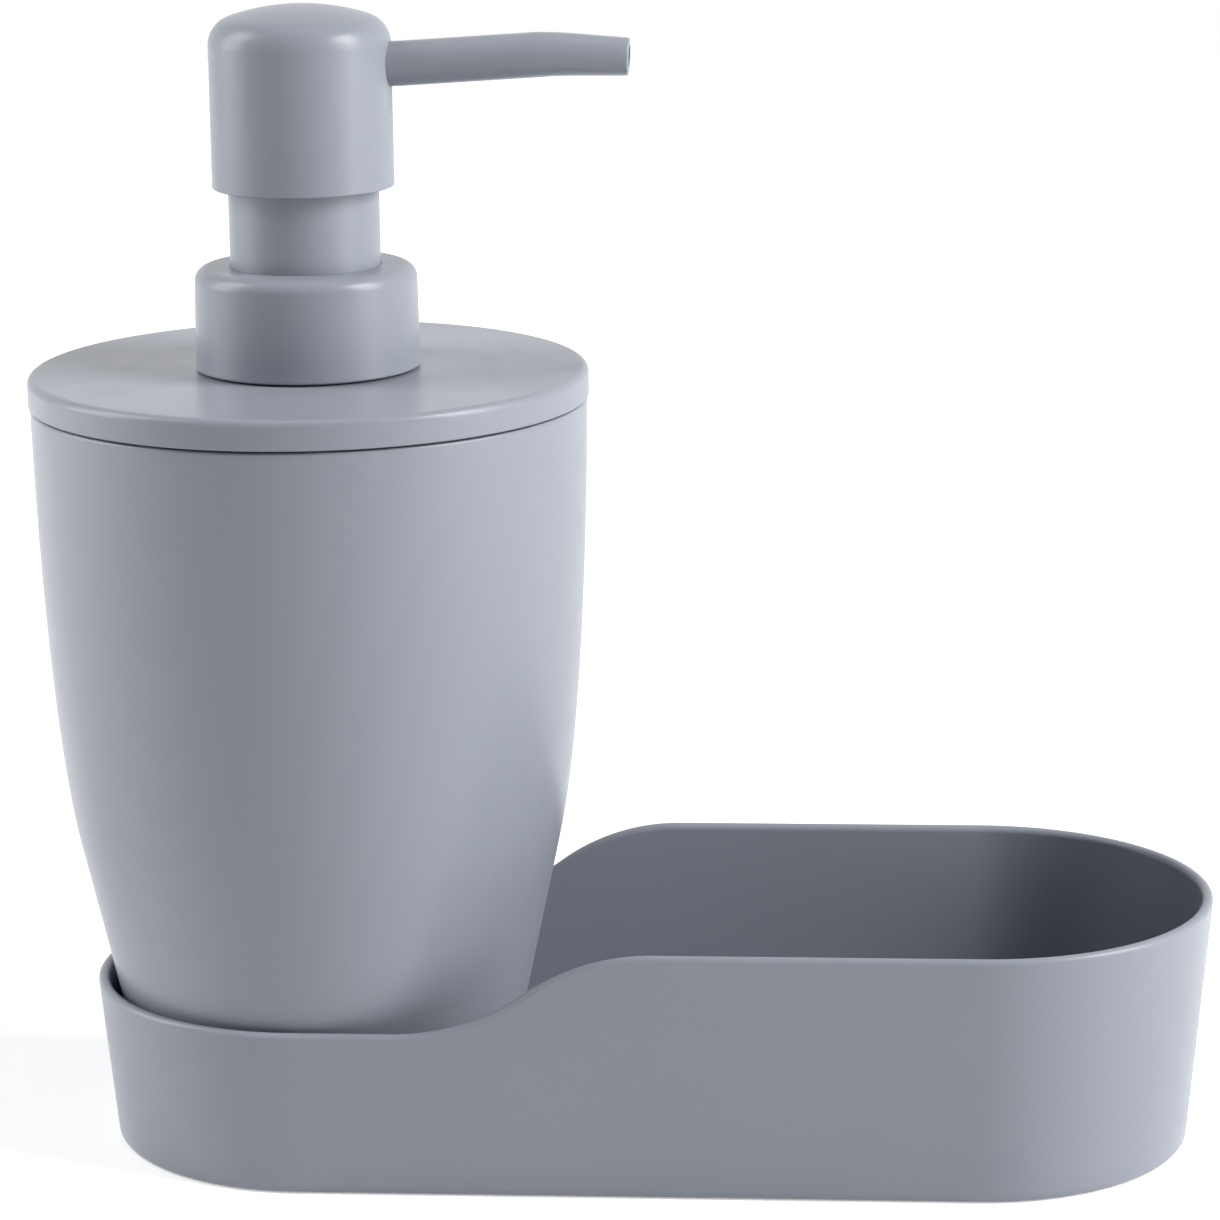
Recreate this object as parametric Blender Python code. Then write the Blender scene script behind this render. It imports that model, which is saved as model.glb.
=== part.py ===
"""Pump soap dispenser standing in a sink caddy with a sponge bay.

Metres, +Z up. The origin is on the bottle's axis, in the plane that the caddy stands on, and +X points
along the caddy towards its sponge bay. Every piece is its own object. The pump is drawn at rest, with its
head up. An outline is a list of (radius, height) corners, with a fillet radius as an optional third
value, in the piece's own frame. Each piece's frame is on the axis that it slides along or turns about.
"""

import math

import bmesh
import bpy
from mathutils import Matrix, Vector
from mathutils.geometry import interpolate_bezier

MM = 0.001

# Gaps between pieces, and how far a cutting tool reaches past its piece
SEAT_GAP = 0.3 * MM
RUNNING_GAP = 0.15 * MM
TOOL_REACH = 20.0 * MM

# Caddy
CADDY_BASE_RADIUS = 32.6 * MM
CADDY_DRAFT = 0.095
CADDY_WALL = 1.8 * MM
CADDY_FLOOR = 2.0 * MM
CADDY_SPAN = 104.6 * MM
ROUND_END_X = -1.0 * MM
LOW_RIM = 26.5 * MM
HIGH_RIM = 39.8 * MM
RISE_START = 14.5 * MM
RISE_LENGTH = 40.0 * MM
CADDY_BASE_EDGE = 1.2 * MM
CADDY_FLOOR_EDGE = 1.6 * MM
CADDY_RIM_EDGE = 0.85 * MM
RIDGE_RADIUS = 29.6 * MM
RIDGE_WIDTH = 1.6 * MM
RIDGE_HEIGHT = 3.0 * MM
RIDGE_ROOT = 1.0 * MM
RIDGE_EDGE = 0.6 * MM
RIDGE_SWEEP = math.radians(110)

# Bottle body
BOTTLE_HEIGHT = 115.6 * MM
FOOT_RADIUS = 27.7 * MM
TAPER_HEIGHT = 46.0 * MM
TAPER_SLOPE = 0.218
MOUTH_RADIUS = 42.8 * MM
BARREL_LOWER_HANDLE = 20.8 * MM
BARREL_UPPER_HANDLE = 4.2 * MM
BARREL_POINTS = 8
BODY_WALL = 2.0 * MM
BODY_FLOOR = 2.8 * MM
BODY_FLOOR_EDGE = 4.0 * MM
FOOT_EDGE = 1.5 * MM
FOOT_RING = 3.5 * MM
FOOT_RECESS = 0.8 * MM
MOUTH_EDGE = 0.6 * MM

# Bottle lid
LID_RADIUS = 43.1 * MM
LID_HEIGHT = 4.6 * MM
LID_EDGE = 1.7 * MM
LID_LOWER_EDGE = 0.5 * MM
LID_SKIN = 2.2 * MM
PLUG_DEPTH = 8.0 * MM
PLUG_WALL = 1.5 * MM
PLUG_TAPER = 0.4 * MM
NECK_RADIUS = 12.7 * MM
NECK_BORE = 10.6 * MM
NECK_RISE = 9.4 * MM
NECK_FILLET = 0.8 * MM

# Screw collar
COLLAR_RADIUS = 17.25 * MM
COLLAR_HEIGHT = 15.7 * MM
COLLAR_BORE = 14.5 * MM
COLLAR_TOP = 1.6 * MM
COLLAR_SHOULDER = 2.2 * MM
COLLAR_TAPER = 0.25 * MM

# Pump parts that the collar clamps
GASKET_THICKNESS = 1.1 * MM
GASKET_RADIUS = 13.2 * MM
GASKET_BORE = 10.9 * MM
FLANGE_RADIUS = 13.4 * MM
FLANGE_THICKNESS = 1.4 * MM
SLEEVE_RADIUS = 11.53 * MM
SLEEVE_WALL = 1.3 * MM
SLEEVE_HEIGHT = 18.2 * MM
SLEEVE_EDGE = 0.5 * MM
WELL_FLOOR = 9.0 * MM
SLEEVE_PLUG_DEPTH = 7.2 * MM
SLEEVE_PLUG_WALL = 1.5 * MM
GUIDE_WALL = 1.35 * MM
GUIDE_GROOVE_TOP = 6.8 * MM

# Pump housing
CUP_RADIUS = 10.2 * MM
CUP_BORE = 8.75 * MM
CUP_DEPTH = 7.6 * MM
CUP_TAPER = 2.0 * MM
BARREL_RADIUS = 7.9 * MM
BARREL_BORE = 6.6 * MM
BARREL_DEPTH = 48.0 * MM
CAGE_RADIUS = 4.7 * MM
CAGE_TAPER = 3.5 * MM
CAGE_BORE = 3.1 * MM
CAGE_LIP = 1.5 * MM
CAGE_LIP_BORE = 2.1 * MM
CAGE_DEPTH = 56.5 * MM
INTAKE_BORE = 1.5 * MM
INTAKE_LENGTH = 1.1 * MM
SOCKET_DEPTH = 67.0 * MM
BALL_RADIUS = 2.45 * MM
VENT_RADIUS = 0.6 * MM
VENT_DEPTH = 12.0 * MM

# Dip tube
DIP_TUBE_RADIUS = 3.05 * MM
DIP_TUBE_BORE = 2.15 * MM
DIP_TUBE_CLEARANCE = 4.5 * MM
DIP_TUBE_CUT = math.radians(45)

# Plunger
STEM_RADIUS = 3.9 * MM
STEM_NECK = 3.3 * MM
STEM_BORE = 2.4 * MM
SEAL_HEIGHT = 7.0 * MM
SEAL_FLOAT = 1.0 * MM
SEAL_WAIST = 5.5 * MM
SEAL_LIP = 1.2 * MM
SEAT_RADIUS = 5.5 * MM
SEAT_THICKNESS = 2.2 * MM
SEAT_POST = 3.1 * MM
SEAT_POST_HEIGHT = 9.0 * MM
STEM_LIFT = 2.7 * MM
SPIGOT_RADIUS = 3.2 * MM
SPIGOT_DEPTH = 4.0 * MM
SPRING_WIRE = 0.9 * MM
SPRING_RADIUS = 4.3 * MM
SPRING_TURNS = 9
SPRING_STEPS = 10
SPRING_END_PITCH = 1.5 * MM

# Head
HEAD_LIFT = 12.0 * MM
HEAD_HEIGHT = 27.6 * MM
SKIRT_RADIUS = 13.92 * MM
CROWN_RADIUS = 13.85 * MM
CROWN_CORNER = 4.5 * MM
CROWN_CURVE = 34.0 * MM
HEAD_WALL = 1.3 * MM
HEAD_ROOF = 2.0 * MM
CLAMP_RING_RADIUS = 7.3 * MM
CLAMP_RING_BORE = 6.0 * MM
CLAMP_RING_BASE = 22.8 * MM
CORE_RADIUS = 5.6 * MM
CORE_BASE = 4.8 * MM
CORE_TOP = 24.7 * MM
STEM_TOP = 13.9 * MM
RISER_BORE = 2.2 * MM
BRANCH_RADIUS = 4.75 * MM
BRANCH_LENGTH = 9.6 * MM

# Spout, whose corners are (reach, rise, bend radius) from the axis
SPOUT_HEIGHT = 18.55 * MM
SPOUT_ROOT_X = 4.9 * MM
SPOUT_RISE_X = 14.5 * MM
SPOUT_BEND_X = 38.3 * MM
SPOUT_TIP_X = 50.0 * MM
SPOUT_BEND_RISE = 1.4 * MM
SPOUT_TIP_RISE = 0.9 * MM
SPOUT_LOWER_BEND = 30.0 * MM
SPOUT_UPPER_BEND = 60.0 * MM
SPOUT_RADIUS = 3.41 * MM
SPOUT_TIP_RADIUS = 2.85 * MM
SPOUT_TAPER_START = 36.0 * MM
SPOUT_WALL = 1.1 * MM
SPOUT_TIP_EDGE = 0.3 * MM

# Facets
LARGE_STEPS = 48
HEAD_STEPS = 40
MEDIUM_STEPS = 32
SMALL_STEPS = 24
CADDY_END_STEPS = 22
RISE_STEPS = 8
RIDGE_STEPS = 16
FILLET_STEPS = 2
BEVEL_SEGMENTS = 2
DOME_STEPS = 4
BALL_SIDES = 12
BALL_RINGS = 8
SHARP_ANGLE = math.radians(32)
WELD = 0.0001 * MM

# Colours, as displayed, and finishes
SHELL_COLOUR = "959BA6"
SHELL_ROUGHNESS = 0.45
PUMP_COLOUR = "E4E6E6"
PUMP_ROUGHNESS = 0.4
SEAL_COLOUR = "D5D8DA"
SEAL_ROUGHNESS = 0.55
STEEL_COLOUR = "B9BABC"
STEEL_ROUGHNESS = 0.3

# Heights above the plane under the caddy
BOTTLE_BASE = CADDY_FLOOR + SEAT_GAP
LID_BASE = BOTTLE_BASE + BOTTLE_HEIGHT + SEAT_GAP
COLLAR_BASE = LID_BASE + LID_HEIGHT + SEAT_GAP
GASKET_BASE = LID_BASE + LID_HEIGHT + NECK_RISE + SEAT_GAP
HOUSING_BASE = GASKET_BASE + GASKET_THICKNESS + SEAT_GAP
SLEEVE_BASE = HOUSING_BASE + FLANGE_THICKNESS + SEAT_GAP
SLEEVE_FLANGE = COLLAR_BASE + COLLAR_HEIGHT - COLLAR_TOP - SEAT_GAP - SLEEVE_BASE
HEAD_BASE = COLLAR_BASE + COLLAR_HEIGHT + HEAD_LIFT
BARREL_FLOOR = HOUSING_BASE - BARREL_DEPTH
SEAL_TOP = SLEEVE_BASE - SLEEVE_PLUG_DEPTH - SEAL_FLOAT - SEAT_GAP
SEAL_BASE = SEAL_TOP - SEAL_HEIGHT
SEAT_TOP = SEAL_BASE - SEAT_GAP


def clear_scene():
    for item in list(bpy.data.objects):
        bpy.data.objects.remove(item, do_unlink=True)


def linear(code):
    """The linear colour of an sRGB hex value."""
    channels = [int(code[i : i + 2], 16) / 255 for i in (0, 2, 4)]
    return [c / 12.92 if c <= 0.04045 else ((c + 0.055) / 1.055) ** 2.4 for c in channels]


def paint(item, colour, roughness, metallic=0.0):
    """Give a piece a material of its own."""
    finish = bpy.data.materials.new(item.name)
    finish.use_nodes = True
    shader = finish.node_tree.nodes["Principled BSDF"]
    shader.inputs["Base Color"].default_value = (*linear(colour), 1.0)
    shader.inputs["Roughness"].default_value = roughness
    shader.inputs["Metallic"].default_value = metallic
    item.data.materials.append(finish)


def placed(name, data, parent=None, height=0.0):
    """An object on its parent's axis, at a height above its parent's own height."""
    item = bpy.data.objects.new(name, data)
    item.parent = parent
    item.location.z = height
    bpy.context.collection.objects.link(item)
    return item


def meshed(name, bm):
    """Turn a finished bmesh into a mesh, smooth across its soft edges."""
    bmesh.ops.recalc_face_normals(bm, faces=bm.faces[:])
    mesh = bpy.data.meshes.new(name)
    bm.to_mesh(mesh)
    bm.free()
    mesh.shade_smooth()
    mesh.set_sharp_from_angle(angle=SHARP_ANGLE)
    return mesh


def arc(centre, radius, start, end, steps):
    """Points on an arc from one angle to another, both ends included."""
    angles = [start + (end - start) * step / steps for step in range(steps + 1)]
    return [(centre[0] + radius * math.cos(a), centre[1] + radius * math.sin(a)) for a in angles]


def rounded(corners):
    """The points of a closed outline, with an arc at each corner that has a fillet radius."""
    points = []
    for index, corner in enumerate(corners):
        if len(corner) == 2:
            points.append(tuple(corner))
            continue
        here = Vector(corner[:2])
        back = (Vector(corners[index - 1][:2]) - here).normalized()
        ahead = (Vector(corners[(index + 1) % len(corners)][:2]) - here).normalized()
        half = back.angle(ahead) / 2
        centre = here + (back + ahead).normalized() * corner[2] / math.sin(half)
        from_centre = here + back * corner[2] / math.tan(half) - centre
        start = math.atan2(from_centre.y, from_centre.x)
        turn = math.pi - 2 * half
        side = 1 if ahead.x * back.y - ahead.y * back.x > 0 else -1
        points += arc(centre, corner[2], start, start + side * turn, FILLET_STEPS)
    return points


def turned(name, corners, steps):
    """A mesh made by turning a closed outline once about the Z axis."""
    bm = bmesh.new()
    rim = [bm.verts.new((radius, 0.0, height)) for radius, height in rounded(corners)]
    pairs = zip(rim, rim[1:] + rim[:1])
    edges = [bm.edges.new(pair) for pair in pairs if max(end.co.x for end in pair) > WELD]
    bmesh.ops.spin(
        bm, geom=rim + edges, cent=(0, 0, 0), axis=(0, 0, 1), angle=math.tau, steps=steps, use_merge=True
    )
    bmesh.ops.remove_doubles(bm, verts=bm.verts[:], dist=WELD)
    return meshed(name, bm)


def rod(name, radius, base, top, steps):
    """A mesh of a plain round rod on the Z axis."""
    return turned(name, [(0, base), (radius, base), (radius, top), (0, top)], steps)


def combine(item, name, mesh, operation, location=(0, 0, 0), rotation=(0, 0, 0)):
    """Join a hidden tool to a piece, or cut it out."""
    tool = placed(name, mesh, item)
    tool.location = location
    tool.rotation_euler = rotation
    tool.hide_render = True
    tool.display_type = "WIRE"
    step = item.modifiers.new(name, "BOOLEAN")
    step.operation = operation
    step.object = tool


def rim_height(x):
    """The caddy rim's height: low round the bottle, then two equal arcs up to the bay's wall."""
    rise = HIGH_RIM - LOW_RIM
    bend = (RISE_LENGTH**2 + rise**2) / (4 * rise)
    along = min(max(x - RISE_START, 0.0), RISE_LENGTH)
    if along < RISE_LENGTH / 2:
        return LOW_RIM + bend - math.sqrt(bend**2 - along**2)
    return HIGH_RIM - bend + math.sqrt(bend**2 - (RISE_LENGTH - along) ** 2)


def outward(point):
    """The level direction from the caddy's spine, between its end centres, to a point."""
    spine_x = min(max(point.x, ROUND_END_X), ROUND_END_X + CADDY_SPAN)
    return Vector((point.x - spine_x, point.y, 0.0)).normalized()


def caddy_outline():
    """The caddy's stadium outline at its base, with stations where its rim rises."""
    far_x = ROUND_END_X + CADDY_SPAN
    quarter = math.pi / 2
    stations = [RISE_START + RISE_LENGTH * step / RISE_STEPS for step in range(RISE_STEPS + 1)]
    points = arc((far_x, 0), CADDY_BASE_RADIUS, -quarter, quarter, CADDY_END_STEPS)
    points += [(x, CADDY_BASE_RADIUS) for x in reversed(stations)]
    points += arc((ROUND_END_X, 0), CADDY_BASE_RADIUS, quarter, 3 * quarter, CADDY_END_STEPS)
    points += [(x, -CADDY_BASE_RADIUS) for x in stations]
    return points


def extruded(bm, face, place):
    """Extrude a face, with each new corner moved to where place puts it, and return the new face."""
    result = bmesh.ops.extrude_face_region(bm, geom=[face])["geom"]
    end_face = next(item for item in result if isinstance(item, bmesh.types.BMFace))
    for corner in end_face.verts:
        corner.co = place(corner.co)
    if any(len(edge.link_faces) > 2 for edge in face.edges):
        bmesh.ops.delete(bm, geom=[face], context="FACES_ONLY")
    return end_face


def at_rim(point):
    height = rim_height(point.x)
    drafted = point + outward(point) * CADDY_DRAFT * height
    return Vector((drafted.x, drafted.y, height))


def across_wall(point):
    return point - outward(point) * CADDY_WALL


def at_floor(point):
    drawn_in = point - outward(point) * CADDY_DRAFT * (point.z - CADDY_FLOOR)
    return Vector((drawn_in.x, drawn_in.y, CADDY_FLOOR))


def make_caddy():
    """The tray: drafted walls pulled up to the swept rim, hollowed to its floor, with soft edges."""
    bm = bmesh.new()
    base = bm.faces.new([bm.verts.new((x, y, 0.0)) for x, y in caddy_outline()])
    base_edges = base.edges[:]
    rim = extruded(bm, base, at_rim)
    rim_edges = rim.edges[:]
    mouth = extruded(bm, rim, across_wall)
    rim_edges += mouth.edges[:]
    floor = extruded(bm, mouth, at_floor)
    floor_edges = floor.edges[:]
    for edges, size in (
        (base_edges, CADDY_BASE_EDGE),
        (rim_edges, CADDY_RIM_EDGE),
        (floor_edges, CADDY_FLOOR_EDGE),
    ):
        bmesh.ops.bevel(
            bm, geom=edges, offset=size, segments=BEVEL_SEGMENTS, profile=0.5, affect="EDGES", material=-1
        )
    caddy = placed("caddy_tray", meshed("caddy_tray", bm))
    paint(caddy, SHELL_COLOUR, SHELL_ROUGHNESS)
    combine(caddy, "ridge_tool", ridge(), "UNION")
    return caddy


def ridge():
    """The low curved ridge on the floor that keeps the bottle's foot out of the sponge bay."""
    outline = rounded(
        [
            (RIDGE_RADIUS - RIDGE_WIDTH / 2, CADDY_FLOOR - RIDGE_ROOT),
            (RIDGE_RADIUS + RIDGE_WIDTH / 2, CADDY_FLOOR - RIDGE_ROOT),
            (RIDGE_RADIUS + RIDGE_WIDTH / 2, CADDY_FLOOR + RIDGE_HEIGHT, RIDGE_EDGE),
            (RIDGE_RADIUS - RIDGE_WIDTH / 2, CADDY_FLOOR + RIDGE_HEIGHT, RIDGE_EDGE),
        ]
    )
    bm = bmesh.new()
    start = bm.faces.new([bm.verts.new((radius, 0.0, height)) for radius, height in outline])
    bmesh.ops.rotate(bm, verts=bm.verts[:], matrix=Matrix.Rotation(-RIDGE_SWEEP / 2, 3, "Z"))
    bmesh.ops.spin(
        bm, geom=[start], cent=(0, 0, 0), axis=(0, 0, 1), angle=RIDGE_SWEEP, steps=RIDGE_STEPS
    )
    return meshed("ridge_tool", bm)


def barrel_side(inset):
    """The bottle's side above its taper, drawn in by a distance: a curve that ends upright."""
    knee = Vector((FOOT_RADIUS + TAPER_SLOPE * TAPER_HEIGHT - inset, TAPER_HEIGHT, 0))
    mouth = Vector((MOUTH_RADIUS - inset, BOTTLE_HEIGHT, 0))
    along = Vector((TAPER_SLOPE, 1, 0)).normalized() * BARREL_LOWER_HANDLE
    drop = Vector((0, BARREL_UPPER_HANDLE, 0))
    curve = interpolate_bezier(knee, knee + along, mouth - drop, mouth, BARREL_POINTS)
    return [(point.x, point.y) for point in curve]


def make_body(caddy):
    """The barrel-shaped bottle, open at the top, on a foot ring round a shallow recess."""
    outer = barrel_side(0)[:-1]
    inner = barrel_side(BODY_WALL)[:-1]
    mesh = turned(
        "bottle_body",
        [
            (0, FOOT_RECESS),
            (FOOT_RADIUS - FOOT_RING, FOOT_RECESS),
            (FOOT_RADIUS - FOOT_RING, 0),
            (FOOT_RADIUS, 0, FOOT_EDGE),
            *outer,
            (MOUTH_RADIUS, BOTTLE_HEIGHT, MOUTH_EDGE),
            (MOUTH_RADIUS - BODY_WALL, BOTTLE_HEIGHT),
            *reversed(inner),
            (FOOT_RADIUS - BODY_WALL + TAPER_SLOPE * BODY_FLOOR, BODY_FLOOR, BODY_FLOOR_EDGE),
            (0, BODY_FLOOR),
        ],
        LARGE_STEPS,
    )
    body = placed("bottle_body", mesh, caddy, BOTTLE_BASE)
    paint(body, SHELL_COLOUR, SHELL_ROUGHNESS)
    return body


def make_lid(body):
    """The round top with the neck on it, and a ring under it that plugs the bottle's mouth."""
    plug_radius = MOUTH_RADIUS - BODY_WALL - SEAT_GAP
    plug_bore = plug_radius - PLUG_WALL
    ceiling = LID_HEIGHT - LID_SKIN
    mesh = turned(
        "bottle_lid",
        [
            (NECK_BORE, ceiling),
            (NECK_BORE, LID_HEIGHT + NECK_RISE),
            (NECK_RADIUS, LID_HEIGHT + NECK_RISE),
            (NECK_RADIUS, LID_HEIGHT, NECK_FILLET),
            (LID_RADIUS, LID_HEIGHT, LID_EDGE),
            (LID_RADIUS, 0, LID_LOWER_EDGE),
            (plug_radius, 0),
            (plug_radius - PLUG_TAPER, -PLUG_DEPTH),
            (plug_bore - PLUG_TAPER, -PLUG_DEPTH),
            (plug_bore, ceiling),
        ],
        LARGE_STEPS,
    )
    lid = placed("bottle_lid", mesh, body, LID_BASE - BOTTLE_BASE)
    paint(lid, SHELL_COLOUR, SHELL_ROUGHNESS)
    return lid


def make_housing(lid):
    """The pump's barrel, with its flange, cup, ball cage and dip tube socket, and a vent in its wall."""
    socket_bore = DIP_TUBE_RADIUS + SEAT_GAP
    seat_rise = CAGE_BORE - INTAKE_BORE
    mesh = turned(
        "pump_housing",
        [
            (CUP_BORE, FLANGE_THICKNESS),
            (FLANGE_RADIUS, FLANGE_THICKNESS),
            (FLANGE_RADIUS, 0),
            (CUP_RADIUS, 0),
            (CUP_RADIUS, -CUP_DEPTH),
            (BARREL_RADIUS, -CUP_DEPTH - CUP_TAPER),
            (BARREL_RADIUS, -BARREL_DEPTH),
            (CAGE_RADIUS, -BARREL_DEPTH - CAGE_TAPER),
            (CAGE_RADIUS, -SOCKET_DEPTH),
            (socket_bore, -SOCKET_DEPTH),
            (socket_bore, -CAGE_DEPTH - INTAKE_LENGTH),
            (INTAKE_BORE, -CAGE_DEPTH - INTAKE_LENGTH),
            (INTAKE_BORE, -CAGE_DEPTH),
            (CAGE_BORE, -CAGE_DEPTH + seat_rise),
            (CAGE_BORE, -BARREL_DEPTH - CAGE_LIP),
            (CAGE_LIP_BORE, -BARREL_DEPTH - CAGE_LIP),
            (CAGE_LIP_BORE, -BARREL_DEPTH),
            (BARREL_BORE, -BARREL_DEPTH),
            (BARREL_BORE, -CUP_DEPTH - CUP_TAPER),
            (CUP_BORE, -CUP_DEPTH),
        ],
        MEDIUM_STEPS,
    )
    housing = placed("pump_housing", mesh, lid, HOUSING_BASE - LID_BASE)
    paint(housing, PUMP_COLOUR, PUMP_ROUGHNESS)
    vent = rod("vent_tool", VENT_RADIUS, 0, TOOL_REACH, SMALL_STEPS)
    combine(housing, "vent_tool", vent, "DIFFERENCE", (0, 0, -VENT_DEPTH), (math.pi / 2, 0, 0))
    return housing


def make_gasket(housing):
    mesh = turned(
        "neck_gasket",
        [
            (GASKET_BORE, 0),
            (GASKET_RADIUS, 0),
            (GASKET_RADIUS, GASKET_THICKNESS),
            (GASKET_BORE, GASKET_THICKNESS),
        ],
        MEDIUM_STEPS,
    )
    gasket = placed("neck_gasket", mesh, housing, GASKET_BASE - HOUSING_BASE)
    paint(gasket, SEAL_COLOUR, SEAL_ROUGHNESS)


def make_sleeve(housing):
    """The sleeve between collar and head: its well takes the head's core, its bore guides the stem."""
    plug_radius = CUP_BORE - SEAT_GAP
    plug_bore = plug_radius - SLEEVE_PLUG_WALL
    guide_bore = STEM_RADIUS + RUNNING_GAP
    guide_radius = guide_bore + GUIDE_WALL
    mesh = turned(
        "guide_sleeve",
        [
            (plug_radius, -SLEEVE_PLUG_DEPTH),
            (plug_radius, 0),
            (FLANGE_RADIUS, 0),
            (FLANGE_RADIUS, SLEEVE_FLANGE),
            (SLEEVE_RADIUS, SLEEVE_FLANGE),
            (SLEEVE_RADIUS, SLEEVE_HEIGHT, SLEEVE_EDGE),
            (SLEEVE_RADIUS - SLEEVE_WALL, SLEEVE_HEIGHT),
            (SLEEVE_RADIUS - SLEEVE_WALL, WELL_FLOOR),
            (guide_bore, WELL_FLOOR),
            (guide_bore, -SLEEVE_PLUG_DEPTH),
            (guide_radius, -SLEEVE_PLUG_DEPTH),
            (guide_radius, GUIDE_GROOVE_TOP),
            (plug_bore, GUIDE_GROOVE_TOP),
            (plug_bore, -SLEEVE_PLUG_DEPTH),
        ],
        HEAD_STEPS,
    )
    sleeve = placed("guide_sleeve", mesh, housing, SLEEVE_BASE - HOUSING_BASE)
    paint(sleeve, SHELL_COLOUR, SHELL_ROUGHNESS)


def make_collar(housing):
    """The plain round cap that screws down over the neck and clamps the two flanges."""
    sleeve_hole = SLEEVE_RADIUS + SEAT_GAP
    mesh = turned(
        "screw_collar",
        [
            (COLLAR_BORE, 0),
            (COLLAR_RADIUS, 0),
            (COLLAR_RADIUS - COLLAR_TAPER, COLLAR_HEIGHT, COLLAR_SHOULDER),
            (sleeve_hole, COLLAR_HEIGHT),
            (sleeve_hole, COLLAR_HEIGHT - COLLAR_TOP),
            (COLLAR_BORE, COLLAR_HEIGHT - COLLAR_TOP),
        ],
        HEAD_STEPS,
    )
    collar = placed("screw_collar", mesh, housing, COLLAR_BASE - HOUSING_BASE)
    paint(collar, SHELL_COLOUR, SHELL_ROUGHNESS)


def make_dip_tube(housing):
    """The tube down to the bottle's floor, cut slanting at its foot so that it can't suck shut."""
    top = HOUSING_BASE - CAGE_DEPTH - INTAKE_LENGTH - SEAT_GAP
    length = top - BOTTLE_BASE - BODY_FLOOR - DIP_TUBE_CLEARANCE
    mesh = turned(
        "dip_tube",
        [
            (DIP_TUBE_BORE, -length),
            (DIP_TUBE_RADIUS, -length),
            (DIP_TUBE_RADIUS, 0),
            (DIP_TUBE_BORE, 0),
        ],
        SMALL_STEPS,
    )
    tube = placed("dip_tube", mesh, housing, top - HOUSING_BASE)
    paint(tube, PUMP_COLOUR, PUMP_ROUGHNESS)
    bm = bmesh.new()
    bmesh.ops.create_cube(bm, size=TOOL_REACH, matrix=Matrix.Translation((0, 0, -TOOL_REACH / 2)))
    cut_height = DIP_TUBE_RADIUS * math.tan(DIP_TUBE_CUT) - length
    cutter = meshed("tube_cut_tool", bm)
    combine(tube, "tube_cut_tool", cutter, "DIFFERENCE", (0, 0, cut_height), (0, DIP_TUBE_CUT, 0))


def make_ball(housing):
    """The intake ball, just clear of its conical seat."""
    apex = HOUSING_BASE - CAGE_DEPTH - INTAKE_BORE
    centre = apex + (BALL_RADIUS + SEAT_GAP) * math.sqrt(2)
    bm = bmesh.new()
    bmesh.ops.create_uvsphere(bm, u_segments=BALL_SIDES, v_segments=BALL_RINGS, radius=BALL_RADIUS)
    ball = placed("intake_ball", meshed("intake_ball", bm), housing, centre - HOUSING_BASE)
    paint(ball, STEEL_COLOUR, STEEL_ROUGHNESS, 1.0)


def spring_points():
    """The spring's centre line: a helix whose first and last turns lie closer together."""
    start = BARREL_FLOOR + SEAT_GAP + SPRING_WIRE / 2
    end = SEAT_TOP - SEAT_THICKNESS - SEAT_GAP - SPRING_WIRE / 2
    pitch = (end - start - 2 * SPRING_END_PITCH) / (SPRING_TURNS - 2)
    points = []
    for step in range(SPRING_TURNS * SPRING_STEPS + 1):
        turns = step / SPRING_STEPS
        lower = min(turns, 1.0)
        upper = max(turns - SPRING_TURNS + 1, 0.0)
        height = start + SPRING_END_PITCH * (lower + upper) + pitch * (turns - lower - upper)
        angle = math.tau * turns
        points.append((SPRING_RADIUS * math.cos(angle), SPRING_RADIUS * math.sin(angle), height))
    return points


def make_spring(housing):
    """The return spring, one unbroken wire from the barrel's floor to the piston seat."""
    curve = bpy.data.curves.new("return_spring", "CURVE")
    curve.dimensions = "3D"
    curve.bevel_depth = SPRING_WIRE / 2
    curve.bevel_resolution = 1
    curve.use_fill_caps = True
    points = spring_points()
    spline = curve.splines.new("POLY")
    spline.points.add(len(points) - 1)
    for point, (x, y, z) in zip(spline.points, points):
        point.co = (x, y, z - BARREL_FLOOR, 1.0)
    spring = placed("return_spring", curve, housing, BARREL_FLOOR - HOUSING_BASE)
    paint(spring, STEEL_COLOUR, STEEL_ROUGHNESS, 1.0)


def make_seat(housing):
    """The piston seat: a flange on the spring, a spigot inside it and a square post up in the stem."""
    mesh = turned(
        "piston_seat",
        [
            (0, -SEAT_THICKNESS - SPIGOT_DEPTH),
            (SPIGOT_RADIUS, -SEAT_THICKNESS - SPIGOT_DEPTH),
            (SPIGOT_RADIUS, -SEAT_THICKNESS),
            (SEAT_RADIUS, -SEAT_THICKNESS),
            (SEAT_RADIUS, 0),
            (0, 0),
        ],
        SMALL_STEPS,
    )
    seat = placed("piston_seat", mesh, housing, SEAT_TOP - HOUSING_BASE)
    paint(seat, PUMP_COLOUR, PUMP_ROUGHNESS)
    root = SEAT_THICKNESS / 2
    height = SEAT_POST_HEIGHT + root
    bm = bmesh.new()
    bmesh.ops.create_cube(bm, size=1.0)
    bmesh.ops.scale(bm, verts=bm.verts[:], vec=(SEAT_POST, SEAT_POST, height))
    combine(seat, "post_tool", meshed("post_tool", bm), "UNION", (0, 0, height / 2 - root))
    return seat


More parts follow.
